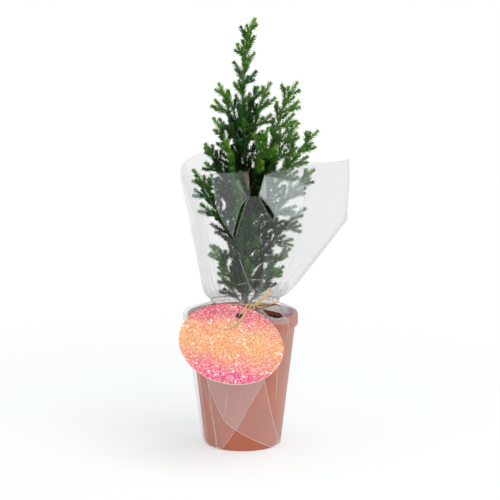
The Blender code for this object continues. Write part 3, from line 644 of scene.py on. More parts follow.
def shoot_line(root, ahead, sideways, roll, angle, length):
    """A side shoot's line: it leaves its stem at an angle, then curls up towards the stem's way."""
    out = sideways * math.cos(roll) + ahead.cross(sideways) * math.sin(roll)
    line = [root.copy()]
    for i in range(round(length / FINE)):
        bend = angle - SHOOT_CURL * i * FINE / length
        line.append(line[-1] + (ahead * math.cos(bend) + out * math.sin(bend)) * FINE)
    return line


def fitting_shoot(name, *way, length):
    """The longest of a few lengths whose needles stay in the mass's space, or nothing."""
    for share in SHORTER_TRIES:
        line = shoot_line(*way, length * share)
        past_stem = line[round(PAST_STEM / FINE):]
        if length * share >= LEAST_SHOOT and all(in_own_space(name, place, NEEDLE_ROOM) for place in past_stem):
            CLAIMS.add(name, past_stem, NEEDLE_ROOM)
            return line
    return None


def twin_shoot(bough, line, ahead, roll, size):
    """The shoot that a long side shoot bears half way along, turned back towards the stem's way."""
    root = line[round(len(line) * TWIN_AT)]
    along = (line[-1] - line[0]).normalized()
    flat = (ahead - along * ahead.dot(along)).normalized()
    roll = math.pi + roll / 4
    return fitting_shoot(bough.name, root, along, flat, roll, SHOOT_ANGLE[0], length=size * TWIN_SHARE)


def side_shoots(bough, stem):
    """Shoots left and right up the stem by turns, the long ones with a twin. None draws level with the stem's tip."""
    draw = random.Random(bough.name)
    frames = carried_frames(stem)
    length = (len(stem) - 1) * FINE
    lines = []
    along = FIRST_SHOOT
    side = draw.choice((0, math.pi))
    while along < length - LAST_SHOOT:
        root = stem[round(along / FINE)]
        ahead = frames[round(along / FINE)][0]
        sideways = outward(bough.turn)
        sideways = (sideways - ahead * sideways.dot(ahead)).normalized()
        size = min(bough.side * MM, SHOOT_SHARE * (length - along) + SHOOT_EXTRA)
        size *= draw.uniform(*LENGTH_SPREAD)
        roll = side + draw.uniform(-SCATTER, SCATTER)
        angle = draw.uniform(*SHOOT_ANGLE)
        line = fitting_shoot(bough.name, root, ahead, sideways, roll, angle, length=size)
        if line:
            room = BEHIND_SHARE * (length - along) + BEHIND_EXTRA
            lines.append(line[:round(room / FINE) + 1])
            twin = twin_shoot(bough, line, ahead, roll, size) if (len(line) - 1) * FINE > TWIN_FROM else None
            if twin:
                lines.append(twin)
        along += SHOOT_SPACING * draw.uniform(*SPACING_SPREAD)
        side = math.pi - side
    return lines


def claim_stem(bough):
    """The room that a mass's own stem takes for its needles."""
    line = evenly(LINES[bough.name][1], NEEDLE_RING)
    bare = 0 if bough.bare or bough is LEADER else round(TRUNK_BARE / NEEDLE_RING)
    for i in range(bare, len(line) - 1):
        stretch = [line[i].lerp(line[i + 1], share) for share in (0.2, 0.4, 0.6, 0.8, 1)]
        if all(in_own_space(bough.name, place, NEEDLE_ROOM) for place in stretch):
            CLAIMS.add(bough.name, stretch, NEEDLE_ROOM)


FILLING_SPACING = 5 * MM
FILLING_OPENS = 1
FILLING_SHARE = 0.22
FILLING_EXTRA = 4.5 * MM
FILLING_LEAST = 3 * MM
FILLING_ANGLE = (math.radians(26), math.radians(42))
GOLDEN_TURN = math.radians(137.5)
TWIGLET_FIRST = 3.5 * MM
TWIGLET_SPACING = 6 * MM
TWIGLET_SHARE = 0.45
TWIGLET_EXTRA = 1.5 * MM
TWIGLET_LONGEST = 7.5 * MM
TWIGLET_ANGLE = math.radians(34)
TWIGLETS_FROM = 11 * MM
NEEDLE_CLEAR = 2 * MM
INNER_FOOT = 113 * MM
INNER_SPACING = 1.5 * MM
INNER_LENGTH = (12 * MM, 24 * MM)
INNER_ANGLE = (math.radians(30), math.radians(48))
LIMB_SPACING = 2 * MM
LIMB_SHOOT = (9 * MM, 16 * MM)
GREEN_FROM = 222 * MM


def off_wood(place):
    """Whether a finer twig here keeps clear of the trunk, and its needles of the film."""
    if place.z < TRUNK_TOP.z and (place - trunk_point(place.z)).xy.length < trunk_radius(place.z) + NEEDLE_CLEAR:
        return False
    return inside_film(place, NEEDLE_CLEAR)


def kept_clear(line, foot=3):
    """A shoot cut back until it keeps clear of trunk and film past its foot, or nothing if too little is left."""
    while len(line) > foot and not all(off_wood(place) for place in line[foot:]):
        line = line[:-2]
    return line if (len(line) - 1) * FINE >= FILLING_LEAST else None


def smooth_step(low, high, value):
    """0 below low, 1 above high, and a soft rise between."""
    share = min(max((value - low) / (high - low), 0), 1)
    return share * share * (3 - 2 * share)


def filling_shoots(bough, stem):
    """Shorter shoots all round the stem, between the main ones, wider apart where the crown is open."""
    draw = random.Random(bough.name + " filling")
    frames = carried_frames(stem)
    length = (len(stem) - 1) * FINE
    lines = []
    along = FILLING_SPACING
    roll = draw.uniform(0, math.tau)
    while along < length - FILLING_EXTRA:
        k = round(along / FINE)
        ahead, side, _ = frames[k]
        size = min(bough.side * MM, FILLING_SHARE * (length - along) + FILLING_EXTRA) * draw.uniform(0.55, 1)
        line = kept_clear(shoot_line(stem[k], ahead, side, roll, draw.uniform(*FILLING_ANGLE), size))
        if line:
            lines.append(line)
        opens = 1 + FILLING_OPENS * smooth_step(195 * MM, 230 * MM, stem[k].z) if bough is not LEADER else 0.85
        along += FILLING_SPACING * opens * draw.uniform(0.8, 1.2)
        roll += GOLDEN_TURN
    return lines


def twiglets(line, plane, draw):
    """The finest twigs, left and right by turns from a shoot's foot to past its middle, in the spray's plane."""
    frames = carried_frames(line)
    length = (len(line) - 1) * FINE
    found = []
    along = TWIGLET_FIRST
    side = draw.choice((1, -1))
    while length > TWIGLETS_FROM and along < length * 0.5:
        k = round(along / FINE)
        ahead = frames[k][0]
        flat = plane.cross(ahead)
        if flat.length < 0.2:
            flat = frames[k][1]
        size = min(TWIGLET_LONGEST, TWIGLET_SHARE * (length - along) + TWIGLET_EXTRA) * draw.uniform(0.75, 1.1)
        tilt = draw.uniform(-0.6, 0.6)
        twig = shoot_line(line[k], ahead, flat.normalized() * side, tilt, TWIGLET_ANGLE, size)
        if len(twig) > 2 and all(off_wood(place) for place in twig[1:]):
            found.append(twig)
        along += TWIGLET_SPACING * draw.uniform(0.8, 1.25)
        side = -side
    return found


def trunk_shoots():
    """Shaded shoots that the trunk itself bears, all round it between its boughs."""
    draw = random.Random("trunk shoots")
    lines = []
    level = INNER_FOOT
    turn = 0
    while level < TRUNK_TOP.z:
        size = draw.uniform(*INNER_LENGTH)
        shoot = shoot_line(trunk_point(level), UP, outward(turn), 0, draw.uniform(*INNER_ANGLE), size)
        line = kept_clear(shoot, foot=9)
        if line:
            lines.append(line)
        opens = 0.55 + 0.45 * smooth_step(122 * MM, 135 * MM, level) + smooth_step(195 * MM, 225 * MM, level)
        level += INNER_SPACING * opens * draw.uniform(0.8, 1.2)
        turn += 137.5
    return lines


def limb_shoots():
    """Short shoots along the limbs, before their own foliage begins."""
    draw = random.Random("limb shoots")
    lines = []
    for limb, _ in LINES.values():
        roll = draw.uniform(0, math.tau)
        frames = carried_frames(limb) if limb else []
        for k in range(4, len(limb), round(LIMB_SPACING / FINE)):
            ahead, side, _ = frames[k]
            line = kept_clear(shoot_line(limb[k], ahead, side, roll, draw.uniform(*SHOOT_ANGLE), draw.uniform(*LIMB_SHOOT)))
            if line:
                lines.append(line)
            roll += GOLDEN_TURN
    return lines


Axis = namedtuple("Axis", "line kind spray")
for bough in (LEADER, *BOUGHS):
    claim_stem(bough)
MASSES = {}
for bough in (LEADER, *BOUGHS):
    stem = LINES[bough.name][1]
    draw = random.Random(bough.name + " sprays")
    axes = [Axis(stem, "stem", 0)]
    shoots = side_shoots(bough, stem) + filling_shoots(bough, stem)
    for number, line in enumerate(shoots, 1):
        plane = (line[-1] - line[0]).cross(stem[-1] - stem[0]).normalized()
        axes.append(Axis(line, "shoot", number))
        axes += [Axis(twig, "twiglet", number) for twig in twiglets(line, plane, draw)]
    axes += [Axis(twig, "twiglet", 0) for twig in twiglets(stem[len(stem) * 2 // 3:], outward(bough.turn + 90), draw)]
    MASSES[bough.name] = axes
green_top = [trunk_point(GREEN_FROM + i * FINE) for i in range(int((TRUNK_TOP.z - GREEN_FROM) / FINE))]
MASSES[LEADER.name].append(Axis(green_top, "shoot", 0))
inner = []
draw = random.Random("inner sprays")
for number, line in enumerate(trunk_shoots() + limb_shoots()):
    plane = (line[-1] - line[0]).cross(UP).normalized()
    inner.append(Axis(line, "shoot", number))
    inner += [Axis(twig, "twiglet", number) for twig in twiglets(line, plane, draw)]
MASSES["inner"] = inner

# Seven depths of green, from the painted shade of the crown's inside to the fresh tips, with a bluish one and the brown
# of dead needles
GREENS = (
    ("needle shade", (0.006, 0.022, 0.006)),
    ("needle dark", (0.013, 0.052, 0.012)),
    ("needle deep", (0.026, 0.1, 0.018)),
    ("needle mid", (0.05, 0.165, 0.022)),
    ("needle bright", (0.085, 0.24, 0.024)),
    ("needle fresh", (0.13, 0.32, 0.028)),
    ("needle tip", (0.19, 0.4, 0.035)),
    ("needle bluish", (0.032, 0.15, 0.05)),
    ("needle dry", (0.075, 0.048, 0.026)),
)
BLUISH, DRY = 7, 8
BLUISH_SHARE = 0.12
DRY_SHARE = 0.4
DRY_BELOW = 127 * MM
greens = []
for label, colour in GREENS:
    dark = tuple(value * 0.75 for value in colour)
    leaf = grained(label, colour, dark, 0.5, 210, 2500, 0.00004)
    leaf.node_tree.nodes["Principled BSDF"].inputs["Specular IOR Level"].default_value = 0.16
    greens.append(leaf)

NEEDLE_LENGTH = 4.5 * MM
NEEDLE_WIDTH = 0.9 * MM
NEEDLE_THICK = 0.42 * MM
WHORL_SPACING = 1.02 * MM
IN_WHORL = 3
CROWN_HALF_WIDTHS = ((105, 12), (130, 22), (180, 38), (210, 45), (240, 38), (270, 20), (300, 9), (325, 5))
# Masses on the lit front and right of the crown, and how much painted light their greens get.
LIT_MASSES = {"front_right": 1.8, "crown_front": 1, "front_left": 1.2, "tall_right": 0.6, "far_right": 0.4}


def needle_rows(axis, draw):
    """Root, direction, sideways, length and width for each needle along an axis."""
    line = axis.line
    length = (len(line) - 1) * FINE
    frames = carried_frames(line)
    point = along_line(line)
    rows = []
    start = 0.8 * MM if axis.kind != "stem" else 3 * MM
    along = start
    roll = draw.uniform(0, math.tau)
    while along < length:
        share = along / length
        ahead, side, across = frames[min(round(along / FINE), len(frames) - 1)]
        near_tip = max(0, 1 - (length - along) / (5 * MM))
        near_foot = max(0, 1 - along / (4 * MM))
        lean = math.radians(37) - math.radians(13) * near_tip
        size = NEEDLE_LENGTH * (1 - 0.22 * near_tip - 0.2 * near_foot)
        for k in range(IN_WHORL):
            angle = roll + k * math.tau / IN_WHORL + draw.uniform(-0.25, 0.25)
            out = side * math.cos(angle) + across * math.sin(angle)
            tilt = lean + draw.uniform(-0.14, 0.14)
            way = ahead * math.cos(tilt) + out * math.sin(tilt)
            rows.append((point(share), way, ahead.cross(out), size * draw.uniform(0.82, 1.12)))
        along += WHORL_SPACING * (1 - 0.35 * near_tip) * draw.uniform(0.85, 1.15)
        roll += math.pi / IN_WHORL
    ahead, side, across = frames[-1]
    for k in range(6):
        angle = roll + k * math.pi / 3
        out = side * math.cos(angle) + across * math.sin(angle)
        way = (ahead + out * (0.2 + 0.25 * (k % 2))).normalized()
        rows.append((line[-1] - ahead * 0.3 * MM, way, ahead.cross(out), NEEDLE_LENGTH * 0.62))
    return rows


def crown_half_width(height):
    """How wide the crown is at a height, from the trunk to one side."""
    level = height / MM
    for (low, low_wide), (high, high_wide) in zip(CROWN_HALF_WIDTHS, CROWN_HALF_WIDTHS[1:]):
        if level <= high:
            return (low_wide + (high_wide - low_wide) * max(0, level - low) / (high - low)) * MM
    return CROWN_HALF_WIDTHS[-1][1] * MM


def greens_of(mass, axis, draw):
    """The depths of green at foot and tip of a spray's shoots: the further out and the higher, the lighter, partly for
    fresher young growth and partly as painted light, with painted shade deep in the crown.
    """
    tip = axis.line[-1]
    if tip.z < DRY_BELOW and draw.random() < DRY_SHARE:
        return DRY, DRY
    away = (tip - trunk_point(min(tip.z, TRUNK_TOP.z))).xy.length / crown_half_width(tip.z)
    # Out from the trunk the greens lighten: fresher growth outside, and painted shade deep inside the crown.
    freshness_and_light = 4.3 * smooth_step(0.05, 0.9, away) + draw.uniform(-0.8, 0.8)
    # Painted light: sprays of the masses that face the key light get lighter greens from about 190 mm up.
    freshness_and_light += LIT_MASSES.get(mass, 0) * smooth_step(188 * MM, 212 * MM, tip.z)
    freshness_and_light += 1.3 * smooth_step(205 * MM, 290 * MM, tip.z)
    # Painted shade: sprays with tips between about 160 and 200 mm high get darker greens.
    freshness_and_light -= 1.6 * smooth_step(205 * MM, 190 * MM, tip.z) * smooth_step(158 * MM, 168 * MM, tip.z)
    if mass == "leader":
        freshness_and_light = max(freshness_and_light, draw.uniform(3, 5))
    elif mass == "inner":
        # Painted shade: the trunk's inner shoots below about 250 mm get the darkest greens.
        freshness_and_light -= 2.6 * smooth_step(250 * MM, 210 * MM, tip.z)
    if 1.5 < freshness_and_light < 4.5 and draw.random() < BLUISH_SHARE:
        return BLUISH, BLUISH
    foot = min(max(freshness_and_light - 0.4, 0), BLUISH - 2.5)
    return foot, foot + 2.2


# A needle's corners along it, across it and through it, as shares of its length, width and thickness
NEEDLE_CORNERS = (
    (0, 0, 0),
    (0.22, 0.42, 0), (0.22, -0.42, 0), (0.22, 0, 0.9),
    (0.66, 0.5, 0.2), (0.66, -0.5, 0.2), (0.66, 0, 1),
    (1, 0, 0.9),
)
NEEDLE_FACES = (
    (0, 2, 1), (0, 1, 3), (0, 3, 2),
    (1, 2, 5), (1, 5, 4), (3, 1, 4), (3, 4, 6), (2, 3, 6), (2, 6, 5),
    (7, 4, 5), (7, 6, 4), (7, 5, 6),
)
MOST_TRIANGLES = 190_000


def joined_mesh(name, points, faces, kinds, surfaces):
    """One mesh from arrays of points, of faces and of each face's material."""
    mesh = bpy.data.meshes.new(name)
    mesh.from_pydata(points.tolist(), [], faces.tolist())
    for surface in surfaces:
        mesh.materials.append(surface)
    mesh.polygons.foreach_set("material_index", np.asarray(kinds, np.int32))
    mesh.update()
    piece = bpy.data.objects.new(name, mesh)
    bpy.context.collection.objects.link(piece)
    return piece


def needle_piece(name, rows, kinds):
    """Every needle of some masses as one mesh."""
    roots = np.array([row[0] for row in rows])
    ways = np.array([row[1] for row in rows])
    sides = np.array([row[2] for row in rows])
    sizes = np.array([row[3] for row in rows])[:, None]
    ups = np.cross(sides, ways)
    points = []
    for along, across, through in NEEDLE_CORNERS:
        points.append(roots + ways * sizes * along + sides * NEEDLE_WIDTH * across + ups * NEEDLE_THICK * through)
    points = np.stack(points, 1).reshape(-1, 3)
    faces = (np.arange(len(rows))[:, None, None] * len(NEEDLE_CORNERS) + np.array(NEEDLE_FACES)).reshape(-1, 3)
    return joined_mesh(name, points, faces, np.repeat(kinds, len(NEEDLE_FACES)), greens)


needle_groups = [([], [], [])]
for mass, axes in MASSES.items():
    draw = random.Random(mass + " needles")
    rows, kinds = [], []
    greens_dealt = {}
    for axis in axes:
        if axis.spray not in greens_dealt:
            greens_dealt[axis.spray] = greens_of(mass, axis, draw)
        at_foot, at_tip = greens_dealt[axis.spray]
        found = needle_rows(axis, draw)
        rows += found
        kinds += [int(at_foot + (at_tip - at_foot) * smooth_step(0.45, 0.95, k / len(found))) for k in range(len(found))]
    if (len(needle_groups[-1][0]) + len(rows)) * len(NEEDLE_FACES) > MOST_TRIANGLES:
        needle_groups.append(([], [], []))
    needle_groups[-1][0].extend(rows)
    needle_groups[-1][1].extend(kinds)
    if mass != "inner":
        needle_groups[-1][2].append("foliage_" + mass)
for number, (rows, kinds, nodes) in enumerate(needle_groups, 1):
    placed(needle_piece(f"needles_{number}", rows, kinds), "foliage", *nodes)

# Twigs: the thin stems that carry the needles, brown where they are woody and green where they are young.
TWIG_SIZES = {"stem": (0.75 * MM, 0.32 * MM), "shoot": (0.42 * MM, 0.22 * MM), "twiglet": (0.28 * MM, 0.18 * MM)}
TWIG_SIDES = 5
TWIG_STEP = 2 * MM
young_wood = grained("young wood", (0.2, 0.12, 0.05), (0.09, 0.05, 0.024), 0.75, 320, 1800, 0.0001)
green_twig = grained("green twig", (0.1, 0.22, 0.03), (0.07, 0.13, 0.025), 0.6, 320, 1800, 0.00005)


def add_tube(points, faces, line, foot, tip):
    """Adds a closed tube along a line, from one radius to the other."""
    first = len(points)
    for i, (ahead, side, across) in enumerate(carried_frames(line)):
        radius = foot + (tip - foot) * i / (len(line) - 1)
        for k in range(TWIG_SIDES):
            angle = math.tau * k / TWIG_SIDES
            points.append(line[i] + (side * math.cos(angle) + across * math.sin(angle)) * radius)
    for i in range(len(line) - 1):
        for k in range(TWIG_SIDES):
            a = first + i * TWIG_SIDES + k
            b = first + i * TWIG_SIDES + (k + 1) % TWIG_SIDES
            faces += [(a, b, b + TWIG_SIDES), (a, b + TWIG_SIDES, a + TWIG_SIDES)]
    last = first + (len(line) - 1) * TWIG_SIDES
    for k in range(1, TWIG_SIDES - 1):
        faces += [(first, first + k + 1, first + k), (last, last + k, last + k + 1)]


points, faces, kinds = [], [], []
for axes in MASSES.values():
    for axis in axes:
        line = evenly(axis.line, TWIG_STEP)
        already = len(faces)
        add_tube(points, faces, line, *TWIG_SIZES[axis.kind])
        woody = TWIG_SIDES * len(line) if axis.kind == "stem" else 0
        kinds += [0] * woody + [1] * (len(faces) - already - woody)
twigs = joined_mesh("twigs", np.array(points), np.array(faces), kinds, (young_wood, green_twig))
twigs.data.shade_smooth()
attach(twigs, "root")

# Film over the pot: clear cellophane, drawn down from the tie over the rim, hanging loose in folds to the floor.
# Two corners of the sheet cross in front, and leave a bare triangle of pot under them.
SKIRT_FOOT = 1 * MM
WAIST_HEIGHT = 108.2 * MM
WAIST_CENTRE = 1.8 * MM
WAIST_SIDE = 25.5 * MM
WAIST_DEPTH = 20 * MM
FILM_WALL = 0.12 * MM


def film_material(name, face_on, on_edge, clear, edge, gather=5 * MM, milk=0.3, shade=0.3, grain=330):
    """Clear film: barely there face on, whiter on edge, and milky near the tie, as far as gather. The whiter colour
    on edge is a painted sheen for glancing reflections. Shade is the share of its cover that also holds back the light."""
    made, nodes, links, shader = finish(name, face_on, 0.12)
    where = nodes.new("ShaderNodeTexCoord")
    creases = nodes.new("ShaderNodeTexNoise")
    creases.inputs["Scale"].default_value = 60
    creases.inputs["Detail"].default_value = 3
    creases.inputs["Distortion"].default_value = 1.2
    bump = nodes.new("ShaderNodeBump")
    bump.inputs["Distance"].default_value = 0.001
    bump.inputs["Strength"].default_value = 0.5
    facing = nodes.new("ShaderNodeLayerWeight")
    facing.inputs["Blend"].default_value = 0.35
    turned = nodes.new("ShaderNodeMapRange")
    turned.inputs["From Min"].default_value = 0.1
    turned.inputs["From Max"].default_value = 0.6
    # Painted sheen: the colour turns towards on_edge where the film is seen edge on.
    whiter = nodes.new("ShaderNodeMix")
    whiter.data_type = "RGBA"
    whiter.inputs["A"].default_value = (*face_on, 1)
    whiter.inputs["B"].default_value = (*on_edge, 1)
    veil = nodes.new("ShaderNodeMapRange")
    veil.inputs["To Min"].default_value = clear
    veil.inputs["To Max"].default_value = edge
    apart = nodes.new("ShaderNodeSeparateXYZ")
    off_waist = nodes.new("ShaderNodeMath")
    off_waist.operation = "SUBTRACT"
    off_waist.inputs[1].default_value = WAIST_HEIGHT
    distance = nodes.new("ShaderNodeMath")
    distance.operation = "ABSOLUTE"
    gathered = nodes.new("ShaderNodeMapRange")
    gathered.interpolation_type = "SMOOTHSTEP"
    gathered.inputs["From Min"].default_value = 0.001
    gathered.inputs["From Max"].default_value = gather
    gathered.inputs["To Min"].default_value = 1
    gathered.inputs["To Max"].default_value = 0
    stretch = nodes.new("ShaderNodeMapping")
    stretch.inputs["Scale"].default_value = (grain, grain, 70)
    streaks = nodes.new("ShaderNodeTexNoise")
    streaks.inputs["Scale"].default_value = 1
    streaks.inputs["Detail"].default_value = 2
    streaky = nodes.new("ShaderNodeMapRange")
    streaky.inputs["From Min"].default_value = 0.35
    streaky.inputs["From Max"].default_value = 0.68
    streaky.inputs["To Min"].default_value = 0.03
    streaky.inputs["To Max"].default_value = milk
    milky = nodes.new("ShaderNodeMath")
    milky.operation = "MULTIPLY"
    cover = nodes.new("ShaderNodeMath")
    cover.operation = "ADD"
    cover.use_clamp = True
    paler = nodes.new("ShaderNodeMath")
    paler.operation = "MAXIMUM"
    links.new(where.outputs["Object"], creases.inputs["Vector"])
    links.new(creases.outputs["Fac"], bump.inputs["Height"])
    links.new(bump.outputs["Normal"], shader.inputs["Normal"])
    links.new(facing.outputs["Facing"], turned.inputs["Value"])
    links.new(turned.outputs["Result"], veil.inputs["Value"])
    links.new(where.outputs["Object"], apart.inputs["Vector"])
    links.new(apart.outputs["Z"], off_waist.inputs[0])
    links.new(off_waist.outputs["Value"], distance.inputs[0])
    links.new(distance.outputs["Value"], gathered.inputs["Value"])
    links.new(where.outputs["Object"], stretch.inputs["Vector"])
    links.new(stretch.outputs["Vector"], streaks.inputs["Vector"])
    links.new(streaks.outputs["Fac"], streaky.inputs["Value"])
    links.new(gathered.outputs["Result"], milky.inputs[0])
    links.new(streaky.outputs["Result"], milky.inputs[1])
    links.new(veil.outputs["Result"], cover.inputs[0])
    links.new(milky.outputs["Value"], cover.inputs[1])
    ray = nodes.new("ShaderNodeLightPath")
    let_through = nodes.new("ShaderNodeMapRange")
    let_through.inputs["To Min"].default_value = 1
    let_through.inputs["To Max"].default_value = shade
    held = nodes.new("ShaderNodeMath")
    held.operation = "MULTIPLY"
    links.new(ray.outputs["Is Shadow Ray"], let_through.inputs["Value"])
    links.new(cover.outputs["Value"], held.inputs[0])
    links.new(let_through.outputs["Result"], held.inputs[1])
    links.new(held.outputs["Value"], shader.inputs["Alpha"])
    links.new(turned.outputs["Result"], paler.inputs[0])
    links.new(gathered.outputs["Result"], paler.inputs[1])
    links.new(paler.outputs["Value"], whiter.inputs["Factor"])
    links.new(whiter.outputs["Result"], shader.inputs["Base Color"])
    shader.inputs["Coat Weight"].default_value = 1
    shader.inputs["Coat Roughness"].default_value = 0.04
    return made


bag_film = film_material("bag film", (0.34, 0.38, 0.36), (0.92, 0.93, 0.94), 0.068, 0.24, 17 * MM)
haze_film = film_material("folded film", (0.78, 0.86, 0.86), (0.95, 0.97, 1), 0.19, 0.28)
soft_haze_film = film_material("soft folded film", (0.5, 0.55, 0.54), (0.9, 0.93, 0.93), 0.1, 0.22)
left_film = film_material("film on the left", (0.7, 0.74, 0.73), (0.92, 0.94, 0.94), 0.09, 0.24)
side_film = film_material("side film", (0.8, 0.84, 0.84), (0.9, 0.93, 0.93), 0.05, 0.12)
tan_film = film_material("film over bare bark", (0.5, 0.35, 0.18), (0.6, 0.44, 0.26), 0.1, 0.18)
skirt_film = film_material("skirt film", (0.96, 0.9, 0.89), (0.85, 0.85, 0.86), 0.02, 0.1, 7 * MM, 0.4, 0.2, 120)
flap_film = film_material("flap film", (0.97, 0.9, 0.92), (0.95, 0.92, 0.94), 0.07, 0.11, shade=0.2)
crossed_film = film_material("two corners crossed", (0.97, 0.9, 0.92), (0.95, 0.92, 0.94), 0.14, 0.18, shade=0.2)
rim_film = film_material("film round the rim", (0.8, 0.8, 0.82), (0.9, 0.88, 0.88), 0.09, 0.2, shade=0.2)
lobe_film = film_material("film bunched on the left", (0.75, 0.72, 0.7), (0.85, 0.83, 0.82), 0.26, 0.4, shade=0.2)
# Painted highlights: pale film for the beads along creases, hems and cut edges.
crease_highlight_film = film_material("creased film", (0.95, 0.95, 0.95), (0.95, 0.95, 0.95), 0.2, 0.3)


def thickened(piece):
    """Gives a sheet of film its thickness, outward, and applies it."""
    wall = piece.modifiers.new("thickness", "SOLIDIFY")
    wall.thickness = FILM_WALL
    wall.offset = 1
    bpy.context.view_layer.objects.active = piece
    bpy.ops.object.modifier_apply(modifier="thickness")


def pleats(turn, count, phase):
    """Sharp-edged folds round a ring, from 0 in the valleys to 1 on the ridges."""
    wave = math.sin(count * turn + phase + 1.3 * math.sin(2 * turn + phase))
    return 1 - abs(wave) ** 0.7


def smooth_line(points, steps=12):
    """One smooth line through points."""
    line = []
    for i in range(len(points) - 1):
        before, here = points[max(i - 1, 0)], points[i]
        after, beyond = points[i + 1], points[min(i + 2, len(points) - 1)]
        part = geometry.interpolate_bezier(here, here + (after - before) / 6, after - (beyond - here) / 6, after, steps)
        line += part[:-1]
    return line + [points[-1]]


LOOP_AT = -37 * MM


def curve(*points):
    """A smooth line through points across and up the front, in millimetres."""
    return smooth_line([Vector((across, 0, up)) * MM for across, up in points], 5)


def shape_front(piece, corners, operation, fall=0):
    """Cuts a piece's front half by a prism on a loop of corners, which may fall towards the back."""
    bpy.ops.object.select_all(action="DESELECT")
    bpy.ops.mesh.primitive_circle_add(vertices=len(corners), fill_type="NGON")
    prism = bpy.context.object
    for vert, corner in zip(prism.data.vertices, corners):
        vert.co = (corner.x, -80 * MM, corner.z + fall * (80 * MM + LOOP_AT))
    bpy.ops.object.mode_set(mode="EDIT")
    bpy.ops.mesh.select_all(action="SELECT")
    bpy.ops.mesh.extrude_region_move(TRANSFORM_OT_translate={"value": (0, 79.8 * MM, -fall * 79.8 * MM)})
    bpy.ops.mesh.select_all(action="SELECT")
    bpy.ops.mesh.normals_make_consistent(inside=False)
    bpy.ops.object.mode_set(mode="OBJECT")
    cut = piece.modifiers.new("cut", "BOOLEAN")
    cut.operation = operation
    cut.object = prism
    cut.use_self = fall > 0
    bpy.context.view_layer.objects.active = piece
    bpy.ops.object.modifier_apply(modifier="cut")
    bpy.data.objects.remove(prism)


def overlay(sheet, name, corners, surface, lift, *cuts):
    """A corner of the sheet that is folded over its front: it has the sheet's own form, and lies just off it."""
    piece = sheet.copy()
    piece.data = sheet.data.copy()
    piece.name = name
    piece.data.name = name
    bpy.context.collection.objects.link(piece)
    for loop, operation in ((corners, "INTERSECT"), *cuts):
        shape_front(piece, loop, operation)
    piece.data.materials[0] = surface
    for vert in piece.data.vertices:
        vert.co += Vector((vert.co.x * 0.5, vert.co.y, 0)).normalized() * lift
    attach(piece, "root")


def on_front(sheet, line, lift, fall=0):
    """A line seen from the front, laid on the sheet and lifted off it."""
    found = []
    for place in evenly(line, 1.5 * MM):
        start = Vector((place.x, -0.2, place.z + fall * (0.2 + LOOP_AT)))
        hit, spot, _, _ = sheet.ray_cast(start, Vector((0, 1, -fall)).normalized())
        if hit and spot.y < 0:
            found.append(spot + Vector((spot.x * 0.5, spot.y, 0)).normalized() * lift)
    return found


def crease_lines(name, rows):
    """Creases and hems, where the film catches the light along a line: thin beads of pale film as painted highlights,
    as one mesh.
    """
    points, faces = [], []
    for line, radius in rows:
        if len(line) > 1:
            add_tube(points, faces, line, radius, radius)
    piece = joined_mesh(name, np.array(points), np.array(faces), [0] * len(faces), (crease_highlight_film,))
    piece.data.shade_smooth()
    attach(piece, "root")


def skirt_place(turn, share):
    """Down from the waist over the rim, then down the pot's side, standing off it in folds and slack on the left."""
    cone, over = 0.3, 0.42
    left = max(0, -math.cos(turn)) ** 2
    slack = 2.8 * MM * left
    if share < cone:
        level = share / cone
        radius = WAIST_SIDE + (RIM_RADIUS - 0.6 * MM - WAIST_SIDE) * level + slack * level ** 3
        height = WAIST_HEIGHT + (POT_HEIGHT + 0.75 * MM - WAIST_HEIGHT) * level ** 0.8
        squash = 1 + (WAIST_DEPTH / WAIST_SIDE - 1) * (1 - level)
        fold = 0.7 * MM * pleats(turn, 13, 0.4) * math.sin(math.pi * min(1, level * 1.1))
        centre = WAIST_CENTRE * (1 - level)
        return Vector((centre + radius * math.cos(turn), radius * squash * math.sin(turn), height + fold))
    if share < over:
        angle = (1 - (share - cone) / (over - cone)) * math.pi / 2
        radius = RIM_RADIUS - 1.5 * MM + 1.8 * MM * math.cos(angle) + slack
        height = POT_HEIGHT - 1.5 * MM + 2.2 * MM * math.sin(angle)
        return Vector((radius * math.cos(turn), radius * math.sin(turn), height))
    level = (share - over) / (1 - over)
    top = POT_HEIGHT - 1.5 * MM
    height = top + (SKIRT_FOOT - top) * level
    body = RIM_RADIUS + 0.3 * MM if height > rim_foot else pot_radius(height) + 0.4 * MM
    under_rim = smooth_step(rim_foot, rim_foot - (3 + 6 * left) * MM, height)
    hang = (RIM_RADIUS + 0.3 * MM - pot_radius(height)) * (1 - under_rim) if height <= rim_foot else 0
    fold = (0.1 + 1.4 * left) * MM * pleats(turn, 13, 2.1) * under_rim
    radius = body + max(hang, 0) + fold + slack * (1 - level)
    return Vector((radius * math.cos(turn), radius * math.sin(turn), height))


skirt = rolled("film_wrap_skirt", 240, 90, skirt_place, skirt_film)
thickened(skirt)
LEFT_CORNER = (
    curve((-25.8, 75), (-25.6, 52.6), (-22.2, 25), (-18.7, 1.3), (-15.8, 1.3))
    + curve((-15.4, 1.6), (-5.1, 17.6), (3.9, 34.4), (11.4, 48.1), (15, 55), (24, 75))
)
RIGHT_CORNER = (
    curve((-34, 75), (-25.6, 52.6), (-20, 38.4), (-13.6, 24.3))
    + curve((-13, 23.8), (-4.7, 17.4), (7, 10.4), (21.4, 1.7))
    + curve((21.8, 1.7), (25.8, 5.9), (21.2, 27.7), (16, 55.3), (12, 75))
)
BARE_FRONT = curve((-15.8, -3), (-15.4, 1.6), (-5.1, 17.5)) + curve((-4.7, 17.4), (7, 10.4), (21.4, 1.7), (21.4, -3))
OPENING = curve((14.5, 110.1), (17.2, 109.8), (19.6, 109.2), (25.5, 108.1), (29.1, 106.3), (30.7, 103.9))
OPENING += curve((30, 103.4), (25.5, 103.3), (19.6, 104.6), (18, 105.9), (15.4, 108.6))
RIM_LEFT = curve((-46, 101.6), (-38.4, 102.4)) + curve((-38.4, 98.4), (-46, 96.8))
